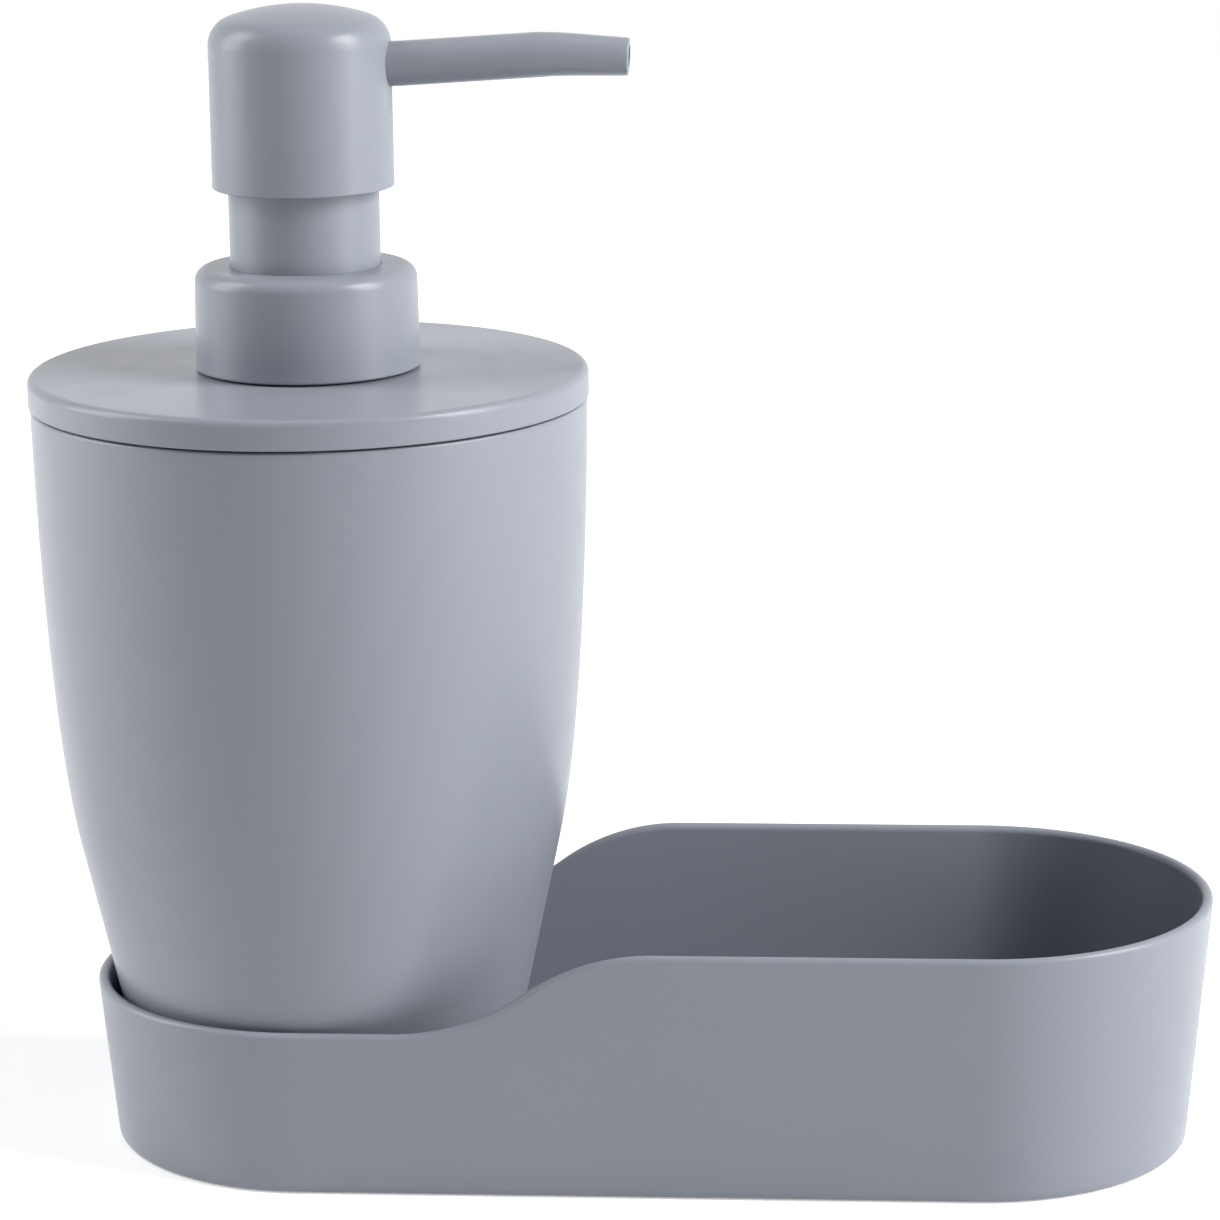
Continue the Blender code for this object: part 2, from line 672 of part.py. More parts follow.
def make_seal(seat):
    """The floating piston seal: a waisted sleeve with a wiping lip at each end."""
    bore = STEM_NECK + RUNNING_GAP
    lip_radius = BARREL_BORE - RUNNING_GAP
    mesh = turned(
        "piston_seal",
        [
            (bore, 0),
            (SEAL_WAIST, 0),
            (lip_radius, 0),
            (lip_radius, SEAL_LIP),
            (SEAL_WAIST, 2 * SEAL_LIP),
            (SEAL_WAIST, SEAL_HEIGHT - 2 * SEAL_LIP),
            (lip_radius, SEAL_HEIGHT - SEAL_LIP),
            (lip_radius, SEAL_HEIGHT),
            (bore, SEAL_HEIGHT),
        ],
        MEDIUM_STEPS,
    )
    seal = placed("piston_seal", mesh, seat, SEAL_BASE - SEAT_TOP)
    paint(seal, SEAL_COLOUR, SEAL_ROUGHNESS)


def make_stem(head):
    """The hollow stem, from inside the seal up into the head's core, stepped above the seal."""
    base = SEAT_TOP + STEM_LIFT - HEAD_BASE
    shoulder = SEAL_TOP + SEAL_FLOAT + SEAT_GAP - HEAD_BASE
    mesh = turned(
        "pump_stem",
        [
            (STEM_BORE, 0),
            (STEM_NECK, 0),
            (STEM_NECK, shoulder - base),
            (STEM_RADIUS, shoulder - base),
            (STEM_RADIUS, STEM_TOP - base),
            (STEM_BORE, STEM_TOP - base),
        ],
        SMALL_STEPS,
    )
    stem = placed("pump_stem", mesh, head, base)
    paint(stem, PUMP_COLOUR, PUMP_ROUGHNESS)


def make_core(head):
    """The head's core: a socket for the stem and a side branch for the spout, bored together."""
    stem_socket = STEM_RADIUS + SEAT_GAP
    spout_socket = SPOUT_RADIUS + SEAT_GAP
    socket_top = STEM_TOP + SEAT_GAP
    socket_start = SPOUT_ROOT_X - SEAT_GAP
    spout_bore = SPOUT_RADIUS - SPOUT_WALL
    core = placed("head_core", rod("head_core", CORE_RADIUS, CORE_BASE, CORE_TOP, SMALL_STEPS), head)
    paint(core, PUMP_COLOUR, PUMP_ROUGHNESS)
    level = (0, 0, SPOUT_HEIGHT)
    along_x = (0, math.pi / 2, 0)
    branch = rod("branch_tool", BRANCH_RADIUS, 0, BRANCH_LENGTH, SMALL_STEPS)
    combine(core, "branch_tool", branch, "UNION", level, along_x)
    riser = turned(
        "riser_tool",
        [
            (0, 0),
            (stem_socket, 0),
            (stem_socket, socket_top),
            (RISER_BORE, socket_top),
            (RISER_BORE, SPOUT_HEIGHT),
            (0, SPOUT_HEIGHT),
        ],
        SMALL_STEPS,
    )
    combine(core, "riser_tool", riser, "DIFFERENCE")
    outlet = turned(
        "outlet_tool",
        [
            (0, -RISER_BORE),
            (spout_bore, -RISER_BORE),
            (spout_bore, socket_start),
            (spout_socket, socket_start),
            (spout_socket, TOOL_REACH),
            (0, TOOL_REACH),
        ],
        SMALL_STEPS,
    )
    combine(core, "outlet_tool", outlet, "DIFFERENCE", level, along_x)


def dome(radius, top, corner, curve, stop=0.0):
    """A domed cap's outline: its corner arc, then its crown arc in as far as the radius stop."""
    inset = radius - corner
    crown_centre = top - curve
    lift = math.sqrt((curve - corner) ** 2 - inset**2)
    joint = math.atan2(lift, inset)
    points = arc((inset, crown_centre + lift), corner, 0, joint, DOME_STEPS)
    points += arc((0, crown_centre), curve, joint, math.acos(stop / curve), FILLET_STEPS)[1:]
    return points


def make_shell(head):
    """The push button: a domed shell with a ring under its roof round the core, and the spout's hole."""
    roof = HEAD_HEIGHT - HEAD_ROOF
    roof_curve = CROWN_CURVE - HEAD_ROOF
    ring_end = math.acos(CLAMP_RING_BORE / roof_curve)
    outer = dome(CROWN_RADIUS, HEAD_HEIGHT, CROWN_CORNER, CROWN_CURVE)
    side = dome(
        CROWN_RADIUS - HEAD_WALL, roof, CROWN_CORNER - HEAD_WALL, roof_curve, CLAMP_RING_RADIUS
    )
    middle = arc((0, roof - roof_curve), roof_curve, ring_end, math.pi / 2, FILLET_STEPS)
    inner = [
        (SKIRT_RADIUS - HEAD_WALL, 0),
        *side,
        (CLAMP_RING_RADIUS, CLAMP_RING_BASE),
        (CLAMP_RING_BORE, CLAMP_RING_BASE),
        *middle,
    ]
    mesh = turned("head_shell", [(SKIRT_RADIUS, 0), *outer, *reversed(inner)], HEAD_STEPS)
    shell = placed("head_shell", mesh, head)
    paint(shell, SHELL_COLOUR, SHELL_ROUGHNESS)
    hole = turned(
        "spout_hole_tool",
        [
            (0, 0),
            (BRANCH_RADIUS + SEAT_GAP, 0),
            (BRANCH_RADIUS + SEAT_GAP, BRANCH_LENGTH + SEAT_GAP),
            (SPOUT_RADIUS + SEAT_GAP, BRANCH_LENGTH + SEAT_GAP),
            (SPOUT_RADIUS + SEAT_GAP, TOOL_REACH),
            (0, TOOL_REACH),
        ],
        SMALL_STEPS,
    )
    combine(shell, "spout_hole_tool", hole, "DIFFERENCE", (0, 0, SPOUT_HEIGHT), (0, math.pi / 2, 0))


def spout_radius(x):
    """The spout's outer radius: even as far as its bend, then tapering to its tip."""
    along = max(x - SPOUT_TAPER_START, 0) / (SPOUT_TIP_X - SPOUT_TAPER_START)
    return SPOUT_RADIUS + (SPOUT_TIP_RADIUS - SPOUT_RADIUS) * along


def spout_stations():
    """The spout's centre line, level in the head, then rising to a soft bend and falling to its tip."""
    path = rounded(
        [
            (SPOUT_ROOT_X, 0),
            (SPOUT_RISE_X, 0, SPOUT_LOWER_BEND),
            (SPOUT_BEND_X, SPOUT_BEND_RISE, SPOUT_UPPER_BEND),
            (SPOUT_TIP_X, SPOUT_TIP_RISE),
        ]
    )
    stations = []
    for index, (x, rise) in enumerate(path):
        before = Vector(path[max(index - 1, 0)])
        after = Vector(path[min(index + 1, len(path) - 1)])
        slope = math.atan2(after.y - before.y, after.x - before.x)
        tilt = Matrix.Rotation(math.pi / 2 - slope, 4, "Y")
        stations.append((Matrix.Translation((x, 0, rise)) @ tilt, spout_radius(x)))
    return stations


def make_spout(head):
    """The spout: one ring drawn out along the tube to its tip, then back down its bore to its start."""
    stations = spout_stations()
    tip_frame, tip_radius = stations.pop()
    behind_tip = tip_frame @ Matrix.Translation((0, 0, -SPOUT_TIP_EDGE))
    outside = stations + [(behind_tip, tip_radius), (tip_frame, tip_radius - SPOUT_TIP_EDGE)]
    stations.append((tip_frame, tip_radius))
    bore = [(frame, radius - SPOUT_WALL) for frame, radius in reversed(stations)]
    rings = outside + bore
    frame, radius = rings[0]
    bm = bmesh.new()
    bmesh.ops.create_circle(bm, segments=SMALL_STEPS, radius=radius, matrix=frame)
    edges = bm.edges[:]
    for next_frame, next_radius in rings[1:] + rings[:1]:
        drawn = bmesh.ops.extrude_edge_only(bm, edges=edges)["geom"]
        corners = [item for item in drawn if isinstance(item, bmesh.types.BMVert)]
        edges = [item for item in drawn if isinstance(item, bmesh.types.BMEdge)]
        to_next = next_frame @ Matrix.Scale(next_radius / radius, 4) @ frame.inverted()
        bmesh.ops.transform(bm, matrix=to_next, verts=corners)
        frame, radius = next_frame, next_radius
    bmesh.ops.remove_doubles(bm, verts=bm.verts[:], dist=WELD)
    spout = placed("spout", meshed("spout", bm), head, SPOUT_HEIGHT)
    paint(spout, SHELL_COLOUR, SHELL_ROUGHNESS)


def make_head(seat):
    """Everything that turns with the push button, under an empty on the pump's axis."""
    head = placed("head_axis", None, seat, HEAD_BASE - SEAT_TOP)
    make_stem(head)
    make_core(head)
    make_shell(head)
    make_spout(head)


clear_scene()
caddy_tray = make_caddy()
bottle_body = make_body(caddy_tray)
bottle_lid = make_lid(bottle_body)
pump_housing = make_housing(bottle_lid)
make_gasket(pump_housing)
make_sleeve(pump_housing)
make_collar(pump_housing)
make_dip_tube(pump_housing)
make_ball(pump_housing)
make_spring(pump_housing)
piston_seat = make_seat(pump_housing)
make_seal(piston_seat)
make_head(piston_seat)
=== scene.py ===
# The looks of a pump soap dispenser that stands in the round end of a sink caddy. Every size is in
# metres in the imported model's frame: +Z up the bottle's axis, +X towards the caddy's sponge bay.

import math

import bmesh
import bpy
from mathutils import Matrix, Vector
from mathutils.geometry import interpolate_bezier


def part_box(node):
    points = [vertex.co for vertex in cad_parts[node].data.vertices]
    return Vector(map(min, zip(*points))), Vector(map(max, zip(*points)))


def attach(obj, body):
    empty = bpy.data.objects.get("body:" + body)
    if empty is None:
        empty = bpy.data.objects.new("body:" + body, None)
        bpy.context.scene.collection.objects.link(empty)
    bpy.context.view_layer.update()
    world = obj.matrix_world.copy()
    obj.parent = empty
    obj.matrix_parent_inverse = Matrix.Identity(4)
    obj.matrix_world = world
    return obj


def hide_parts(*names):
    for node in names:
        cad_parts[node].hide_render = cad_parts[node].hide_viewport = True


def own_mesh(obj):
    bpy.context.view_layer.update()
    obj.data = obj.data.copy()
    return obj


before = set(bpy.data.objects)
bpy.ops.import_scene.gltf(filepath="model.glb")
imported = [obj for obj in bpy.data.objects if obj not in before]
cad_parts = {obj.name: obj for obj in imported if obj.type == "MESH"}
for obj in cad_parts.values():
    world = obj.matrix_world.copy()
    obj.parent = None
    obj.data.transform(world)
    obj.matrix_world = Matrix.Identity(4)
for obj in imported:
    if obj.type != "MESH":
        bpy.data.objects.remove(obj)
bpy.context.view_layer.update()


# Camera
# A long lens from a little to the right and above, on the middle of the set. It is rolled a trace.
MM = 0.001
CAMERA_LENS = 129.77
CAMERA_DISTANCE = 682.6 * MM
CAMERA_PITCH = math.radians(13.585)
CAMERA_YAW = math.radians(4.33)
CAMERA_ROLL = math.radians(-0.74)
CAMERA_AIM = Vector((46.02, 0, 84.51)) * MM

camera = bpy.data.objects.new("camera", bpy.data.cameras.new("camera"))
camera.data.lens = CAMERA_LENS
camera.matrix_world = (
    Matrix.Translation(CAMERA_AIM)
    @ Matrix.Rotation(CAMERA_YAW, 4, "Z")
    @ Matrix.Rotation(math.pi / 2 - CAMERA_PITCH, 4, "X")
    @ Matrix.Rotation(CAMERA_ROLL, 4, "Z")
    @ Matrix.Translation((0, 0, CAMERA_DISTANCE))
)
bpy.context.scene.collection.objects.link(camera)
bpy.context.scene.camera = camera


# Caddy tray
# An open stadium-shaped tray in one shot of satin polypropylene. Its drafted wall is low round the
# bottle and sweeps up to the sponge bay, and its lip is rounded over on both sides.
tray_low, tray_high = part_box("caddy_tray")
TRAY_DRAFT = 0.095
TRAY_WALL = 1.8 * MM
TRAY_FLOOR = 2.0 * MM
TRAY_LOW_RIM = 26.5 * MM
TRAY_RISE_START = 14.5 * MM
TRAY_RISE_LENGTH = 40.0 * MM
TRAY_FOOT_EDGE = 1.2 * MM
TRAY_INNER_EDGE = 1.6 * MM
TRAY_LIP_EDGE = 0.85 * MM
TRAY_END_STEPS = 96
TRAY_RISE_STEPS = 40
TRAY_HOLD = 0.25 * MM
SHARP_ANGLE = math.radians(32)
SHELL_COLOUR = "8D919B"
SHELL_SHADE = "888D97"
SHELL_ROUGHNESS = (0.28, 0.34)
POLYPROPYLENE_IOR = 1.49
SHELL_SHINE = 0.32
SHELL_GRAIN = 0.28 * MM
SHELL_GRAIN_HEIGHT = 0.004 * MM
SHELL_FLOW = 34.0 * MM
SHELL_STRETCH = 0.45
SHELL_RUB = 9.0 * MM

TRAY_HIGH_RIM = tray_high.z
TRAY_BASE_RADIUS = tray_high.y - TRAY_DRAFT * TRAY_HIGH_RIM
TRAY_FAR_X = tray_high.x - tray_high.y
TRAY_NEAR_X = tray_low.x + TRAY_BASE_RADIUS + TRAY_DRAFT * TRAY_LOW_RIM


def linear(code):
    """The linear colour, with alpha, of an sRGB hex value."""
    channels = [int(code[i : i + 2], 16) / 255 for i in (0, 2, 4)]
    return (*[c / 12.92 if c <= 0.04045 else ((c + 0.055) / 1.055) ** 2.4 for c in channels], 1.0)


def add(material, kind, sockets, **settings):
    """Add a node to a material, with its settings, and fill or link its sockets."""
    made = material.node_tree.nodes.new(kind)
    for setting, value in settings.items():
        setattr(made, setting, value)
    for socket, value in sockets.items():
        if isinstance(value, bpy.types.NodeSocket):
            material.node_tree.links.new(value, made.inputs[socket])
        else:
            made.inputs[socket].default_value = value
    return made


def vary(material, tint_pattern, colour, shade, rub_pattern, roughness):
    """Run a material's colour between two hex values by one pattern, and its roughness by another."""
    shader = material.node_tree.nodes["Principled BSDF"]
    tint = {0: tint_pattern, 6: linear(colour), 7: linear(shade)}
    rub = {"Value": rub_pattern, "From Min": 0.3, "From Max": 0.7}
    rub.update({"To Min": roughness[0], "To Max": roughness[1]})
    mixed = add(material, "ShaderNodeMix", tint, data_type="RGBA")
    spread = add(material, "ShaderNodeMapRange", rub)
    material.node_tree.links.new(mixed.outputs[2], shader.inputs["Base Color"])
    material.node_tree.links.new(spread.outputs["Result"], shader.inputs["Roughness"])


def satin_polypropylene(name, colour, shade, roughness):
    """Coloured PP from a spark-eroded mould.

    The eroded steel leaves an even satin with a grain of about 0.05 mm, drawn coarser so that it shows.
    The pigment flows in long faint clouds, and handling polishes patches of the satin slightly.
    """
    made = bpy.data.materials.new(name)
    made.use_nodes = True
    shader = made.node_tree.nodes["Principled BSDF"]
    shader.inputs["IOR"].default_value = POLYPROPYLENE_IOR
    shader.inputs["Specular IOR Level"].default_value = SHELL_SHINE
    place = add(made, "ShaderNodeTexCoord", {}).outputs["Object"]
    stretched = add(made, "ShaderNodeMapping", {"Vector": place, "Scale": (1, 1, SHELL_STRETCH)})
    flow = add(
        made,
        "ShaderNodeTexNoise",
        {"Vector": stretched.outputs["Vector"], "Scale": 1 / SHELL_FLOW, "Detail": 3, "Distortion": 0.6},
    )
    rub = add(made, "ShaderNodeTexNoise", {"Vector": place, "Scale": 1 / SHELL_RUB, "Detail": 4})
    vary(made, flow.outputs["Fac"], colour, shade, rub.outputs["Fac"], roughness)
    grain = add(made, "ShaderNodeTexNoise", {"Vector": place, "Scale": 1 / SHELL_GRAIN, "Detail": 2})
    bump = add(
        made,
        "ShaderNodeBump",
        {"Height": grain.outputs["Fac"], "Strength": 0.5, "Distance": SHELL_GRAIN_HEIGHT},
    )
    made.node_tree.links.new(bump.outputs["Normal"], shader.inputs["Normal"])
    return made


def placed(name, bm):
    """Turn a closed bmesh, already in its place, into an object at the origin."""
    bmesh.ops.recalc_face_normals(bm, faces=bm.faces[:])
    mesh = bpy.data.meshes.new(name)
    bm.to_mesh(mesh)
    bm.free()
    made = bpy.data.objects.new(name, mesh)
    bpy.context.scene.collection.objects.link(made)
    return made


def finished(name, bm, material):
    """A piece with its material, its normals weighted so that flat faces stay flat beside soft edges."""
    made = placed(name, bm)
    made.data.shade_smooth()
    made.data.set_sharp_from_angle(angle=SHARP_ANGLE)
    made.data.materials.append(material)
    made.modifiers.new("weighted", "WEIGHTED_NORMAL").keep_sharp = True
    return made


def combined(bm, operation, tool):
    """A bmesh joined with a second one, or with the second cut out of it."""
    piece, other = placed("piece", bm), placed("other", tool)
    step = piece.modifiers.new("step", "BOOLEAN")
    step.operation = operation
    step.object = other
    result = bmesh.new()
    result.from_object(piece, bpy.context.evaluated_depsgraph_get())
    for item in (piece, other):
        bpy.data.objects.remove(item)
    return result


def arc(centre, radius, start, end, steps):
    """Points on an arc from one angle to another, both ends included."""
    angles = [start + (end - start) * step / steps for step in range(steps + 1)]
    return [(centre[0] + radius * math.cos(a), centre[1] + radius * math.sin(a)) for a in angles]


def rim_height(x):
    """The lip's height: low round the bottle, then two equal arcs up to the bay."""
    rise = TRAY_HIGH_RIM - TRAY_LOW_RIM
    bend = (TRAY_RISE_LENGTH**2 + rise**2) / (4 * rise)
    along = min(max(x - TRAY_RISE_START, 0.0), TRAY_RISE_LENGTH)
    if along < TRAY_RISE_LENGTH / 2:
        return TRAY_LOW_RIM + bend - math.sqrt(bend**2 - along**2)
    return TRAY_HIGH_RIM - bend + math.sqrt(bend**2 - (TRAY_RISE_LENGTH - along) ** 2)


def outward(point):
    """The level direction from the tray's spine to a point."""
    spine_x = min(max(point.x, TRAY_NEAR_X), TRAY_FAR_X)
    return Vector((point.x - spine_x, point.y, 0.0)).normalized()


def extruded(bm, face, place):
    """Extrude a face, with each new corner moved to where place puts it, and return the new face."""
    result = bmesh.ops.extrude_face_region(bm, geom=[face])["geom"]
    end_face = next(item for item in result if isinstance(item, bmesh.types.BMFace))
    for corner in end_face.verts:
        corner.co = place(corner.co)
    if any(len(edge.link_faces) > 2 for edge in face.edges):
        bmesh.ops.delete(bm, geom=[face], context="FACES_ONLY")
    return end_face


def on_wall(height_at, inset=0.0):
    """A rule that puts a corner on the drafted wall at the height that height_at gives, or inside it."""

    def place(point):
        spine_x = min(max(point.x, TRAY_NEAR_X), TRAY_FAR_X)
        height = height_at(point.x)
        radius = TRAY_BASE_RADIUS + TRAY_DRAFT * height - inset
        level = outward(point) * radius
        return Vector((spine_x + level.x, level.y, height))

    return place


rise_step = TRAY_RISE_LENGTH / TRAY_RISE_STEPS
stations = [TRAY_RISE_START + rise_step * step for step in range(TRAY_RISE_STEPS + 1)]
outline = arc((TRAY_FAR_X, 0), TRAY_BASE_RADIUS, -math.pi / 2, math.pi / 2, TRAY_END_STEPS)
outline += [(x, TRAY_BASE_RADIUS) for x in reversed(stations)]
outline += arc((TRAY_NEAR_X, 0), TRAY_BASE_RADIUS, math.pi / 2, 1.5 * math.pi, TRAY_END_STEPS)
outline += [(x, -TRAY_BASE_RADIUS) for x in stations]

bm = bmesh.new()
base = bm.faces.new([bm.verts.new((x, y, 0.0)) for x, y in outline])
foot_edges = base.edges[:]
below_lip = TRAY_LIP_EDGE + TRAY_HOLD
above_foot = TRAY_FOOT_EDGE + TRAY_HOLD
above_floor = TRAY_FLOOR + TRAY_INNER_EDGE + TRAY_HOLD
face = extruded(bm, base, on_wall(lambda x: above_foot))
face = extruded(bm, face, on_wall(lambda x: rim_height(x) - below_lip))
face = extruded(bm, face, on_wall(rim_height))
lip_edges = face.edges[:]
face = extruded(bm, face, on_wall(rim_height, TRAY_WALL))
lip_edges += face.edges[:]
face = extruded(bm, face, on_wall(lambda x: rim_height(x) - below_lip, TRAY_WALL))
face = extruded(bm, face, on_wall(lambda x: above_floor, TRAY_WALL))
face = extruded(bm, face, on_wall(lambda x: TRAY_FLOOR, TRAY_WALL))
inner_edges = face.edges[:]
for edges, size in ((foot_edges, TRAY_FOOT_EDGE), (lip_edges, TRAY_LIP_EDGE), (inner_edges, TRAY_INNER_EDGE)):
    bmesh.ops.bevel(bm, geom=edges, offset=size, segments=6, profile=0.5, affect="EDGES", material=-1)

# A low curved rib stands on the floor between the bottle and the bay, with a fillet at its root.
RIDGE_RADIUS = 29.6 * MM
RIDGE_HALF_WIDTH = 0.8 * MM
RIDGE_TOP = TRAY_FLOOR + 3.0 * MM
RIDGE_EDGE = 0.6 * MM
RIDGE_FILLET = 0.5 * MM
RIDGE_SWEEP = math.radians(110)
RIDGE_STEPS = 72
RIDGE_ROOT = TRAY_FLOOR - 0.6 * MM
RIDGE_SHOULDER = TRAY_FLOOR - 0.02 * MM


def rounded(corners, steps=6):
    """The points of a closed outline, with an arc at each corner that has a fillet radius."""
    points = []
    for index, corner in enumerate(corners):
        if len(corner) == 2:
            points.append(tuple(corner))
            continue
        here = Vector(corner[:2])
        back = (Vector(corners[index - 1][:2]) - here).normalized()
        ahead = (Vector(corners[(index + 1) % len(corners)][:2]) - here).normalized()
        half = back.angle(ahead) / 2
        centre = here + (back + ahead).normalized() * corner[2] / math.sin(half)
        from_centre = here + back * corner[2] / math.tan(half) - centre
        start = math.atan2(from_centre.y, from_centre.x)
        turn = math.pi - 2 * half
        side = 1 if ahead.x * back.y - ahead.y * back.x > 0 else -1
        points += arc(centre, corner[2], start, start + side * turn, steps)
    return points


ridge_outline = rounded(
    [
        (RIDGE_RADIUS - RIDGE_HALF_WIDTH - RIDGE_FILLET, RIDGE_ROOT),
        (RIDGE_RADIUS + RIDGE_HALF_WIDTH + RIDGE_FILLET, RIDGE_ROOT),
        (RIDGE_RADIUS + RIDGE_HALF_WIDTH + RIDGE_FILLET, RIDGE_SHOULDER),
        (RIDGE_RADIUS + RIDGE_HALF_WIDTH, RIDGE_SHOULDER, 0.99 * RIDGE_FILLET),
        (RIDGE_RADIUS + RIDGE_HALF_WIDTH, RIDGE_TOP, RIDGE_EDGE),
        (RIDGE_RADIUS - RIDGE_HALF_WIDTH, RIDGE_TOP, RIDGE_EDGE),
        (RIDGE_RADIUS - RIDGE_HALF_WIDTH, RIDGE_SHOULDER, 0.99 * RIDGE_FILLET),
        (RIDGE_RADIUS - RIDGE_HALF_WIDTH - RIDGE_FILLET, RIDGE_SHOULDER),
    ]
)
ridge = bmesh.new()
profile = ridge.faces.new([ridge.verts.new((radius, 0.0, height)) for radius, height in ridge_outline])
bmesh.ops.rotate(ridge, verts=ridge.verts[:], matrix=Matrix.Rotation(-RIDGE_SWEEP / 2, 3, "Z"))
bmesh.ops.spin(ridge, geom=[profile], cent=(0, 0, 0), axis=(0, 0, 1), angle=RIDGE_SWEEP, steps=RIDGE_STEPS)

shell_plastic = satin_polypropylene("satin_polypropylene", SHELL_COLOUR, SHELL_SHADE, SHELL_ROUGHNESS)
tray = finished("tray_shell", combined(bm, "UNION", ridge), shell_plastic)
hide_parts("caddy_tray")
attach(tray, "tray")


# Bottle body
# A straight-tapered foot that swells into an upright mouth, moulded as one open tumbler with a 2 mm
# wall. It stands on a ring round a shallow recess.
body_low, body_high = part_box("bottle_body")
BODY_FOOT_RADIUS = 27.7 * MM
BODY_TAPER_HEIGHT = 46.0 * MM
BODY_TAPER_SLOPE = 0.218
BODY_LOWER_HANDLE = 20.8 * MM
BODY_UPPER_HANDLE = 4.2 * MM
BODY_CURVE_POINTS = 40
BODY_WALL = 2.0 * MM
BODY_FLOOR = 2.8 * MM
BODY_FLOOR_EDGE = 4.0 * MM
BODY_FOOT_EDGE = 1.5 * MM
BODY_FOOT_RING = 3.5 * MM
BODY_RECESS = 0.8 * MM
BODY_MOUTH_EDGE = 0.45 * MM
BODY_INNER_MOUTH_EDGE = 0.3 * MM
BODY_RING_EDGE = 0.4 * MM
BODY_STEPS = 192
ON_AXIS = 0.001 * MM
MERGED = 0.0001 * MM
BODY_MOUTH_RADIUS = body_high.x
BODY_HEIGHT = body_high.z - body_low.z


def turned(corners, base_height=0.0, steps=BODY_STEPS, fillet_steps=6):
    """A bmesh made by turning a closed outline once about the Z axis, at a height."""
    bm = bmesh.new()
    outline = rounded(corners, fillet_steps)
    rim = [bm.verts.new((radius, 0.0, base_height + height)) for radius, height in outline]
    pairs = zip(rim, rim[1:] + rim[:1])
    edges = [bm.edges.new(pair) for pair in pairs if max(end.co.x for end in pair) > ON_AXIS]
    bmesh.ops.spin(
        bm, geom=rim + edges, cent=(0, 0, 0), axis=(0, 0, 1), angle=math.tau, steps=steps, use_merge=True
    )
    bmesh.ops.remove_doubles(bm, verts=bm.verts[:], dist=MERGED)
    return bm


def barrel_side(inset):
    """The swelling side above the taper, drawn in by a distance."""
    knee = Vector((BODY_FOOT_RADIUS + BODY_TAPER_SLOPE * BODY_TAPER_HEIGHT - inset, BODY_TAPER_HEIGHT, 0))
    mouth = Vector((BODY_MOUTH_RADIUS - inset, BODY_HEIGHT, 0))
    along = Vector((BODY_TAPER_SLOPE, 1, 0)).normalized() * BODY_LOWER_HANDLE
    drop = Vector((0, BODY_UPPER_HANDLE, 0))
    curve = interpolate_bezier(knee, knee + along, mouth - drop, mouth, BODY_CURVE_POINTS)
    return [(point.x, point.y) for point in curve][:-1]


bm = turned(
    [
        (0, BODY_RECESS),
        (BODY_FOOT_RADIUS - BODY_FOOT_RING, BODY_RECESS, BODY_RING_EDGE),
        (BODY_FOOT_RADIUS - BODY_FOOT_RING, 0, BODY_RING_EDGE),
        (BODY_FOOT_RADIUS, 0, BODY_FOOT_EDGE),
        *barrel_side(0),
        (BODY_MOUTH_RADIUS, BODY_HEIGHT, BODY_MOUTH_EDGE),
        (BODY_MOUTH_RADIUS - BODY_WALL, BODY_HEIGHT, BODY_INNER_MOUTH_EDGE),
        *reversed(barrel_side(BODY_WALL)),
        (BODY_FOOT_RADIUS - BODY_WALL + BODY_TAPER_SLOPE * BODY_FLOOR, BODY_FLOOR, BODY_FLOOR_EDGE),
        (0, BODY_FLOOR),
    ],
    body_low.z,
)
body = finished("body_tumbler", bm, shell_plastic)
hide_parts("bottle_body")
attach(body, "bottle")


# Bottle lid
# The round top with its threaded neck, and a ring below that plugs the bottle's mouth. The thread is a
# 28 mm closure's: one and a half turns, right-handed, with its ends run out.
lid_low, lid_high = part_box("bottle_lid")
LID_HEIGHT = 4.6 * MM
LID_EDGE = 1.2 * MM
LID_LOWER_EDGE = 0.25 * MM
LID_SKIN = 2.2 * MM
LID_PLUG_DEPTH = 8.0 * MM
LID_PLUG_WALL = 1.5 * MM
LID_PLUG_TAPER = 0.4 * MM
LID_GAP = 0.3 * MM
NECK_RADIUS = 12.7 * MM
NECK_BORE = 10.6 * MM
NECK_FILLET = 0.8 * MM
NECK_EDGE = 0.4 * MM
NECK_BORE_EDGE = 0.3 * MM
LID_PLUG_EDGE = 0.5 * MM
LID_PLUG_FILLET = 1.0 * MM
THREAD_PITCH = 4.233 * MM
THREAD_HEIGHT = 0.95 * MM
THREAD_BURIED = 0.3 * MM
THREAD_ROOT = 2.4 * MM
THREAD_CREST = 1.0 * MM
THREAD_START = 1.5 * MM
THREAD_STEPS = 96
THREAD_RUNOUT_STEPS = 12
THREAD_SINK = 1.15
NECK_THREAD_TURNS = 1.5
LID_RADIUS = lid_high.x
LID_BASE = lid_low.z + LID_PLUG_DEPTH
NECK_TOP = lid_high.z - LID_BASE

plug_radius = BODY_MOUTH_RADIUS - BODY_WALL - LID_GAP
bm = turned(
    [
        (NECK_BORE, LID_HEIGHT - LID_SKIN),
        (NECK_BORE, NECK_TOP, NECK_BORE_EDGE),
        (NECK_RADIUS, NECK_TOP, NECK_EDGE),
        (NECK_RADIUS, LID_HEIGHT, NECK_FILLET),
        (LID_RADIUS, LID_HEIGHT, LID_EDGE),
        (LID_RADIUS, 0, LID_LOWER_EDGE),
        (plug_radius, 0),
        (plug_radius - LID_PLUG_TAPER, -LID_PLUG_DEPTH, LID_PLUG_EDGE),
        (plug_radius - LID_PLUG_WALL - LID_PLUG_TAPER, -LID_PLUG_DEPTH, LID_PLUG_EDGE),
        (plug_radius - LID_PLUG_WALL, LID_HEIGHT - LID_SKIN, LID_PLUG_FILLET),
    ],
    LID_BASE,
)


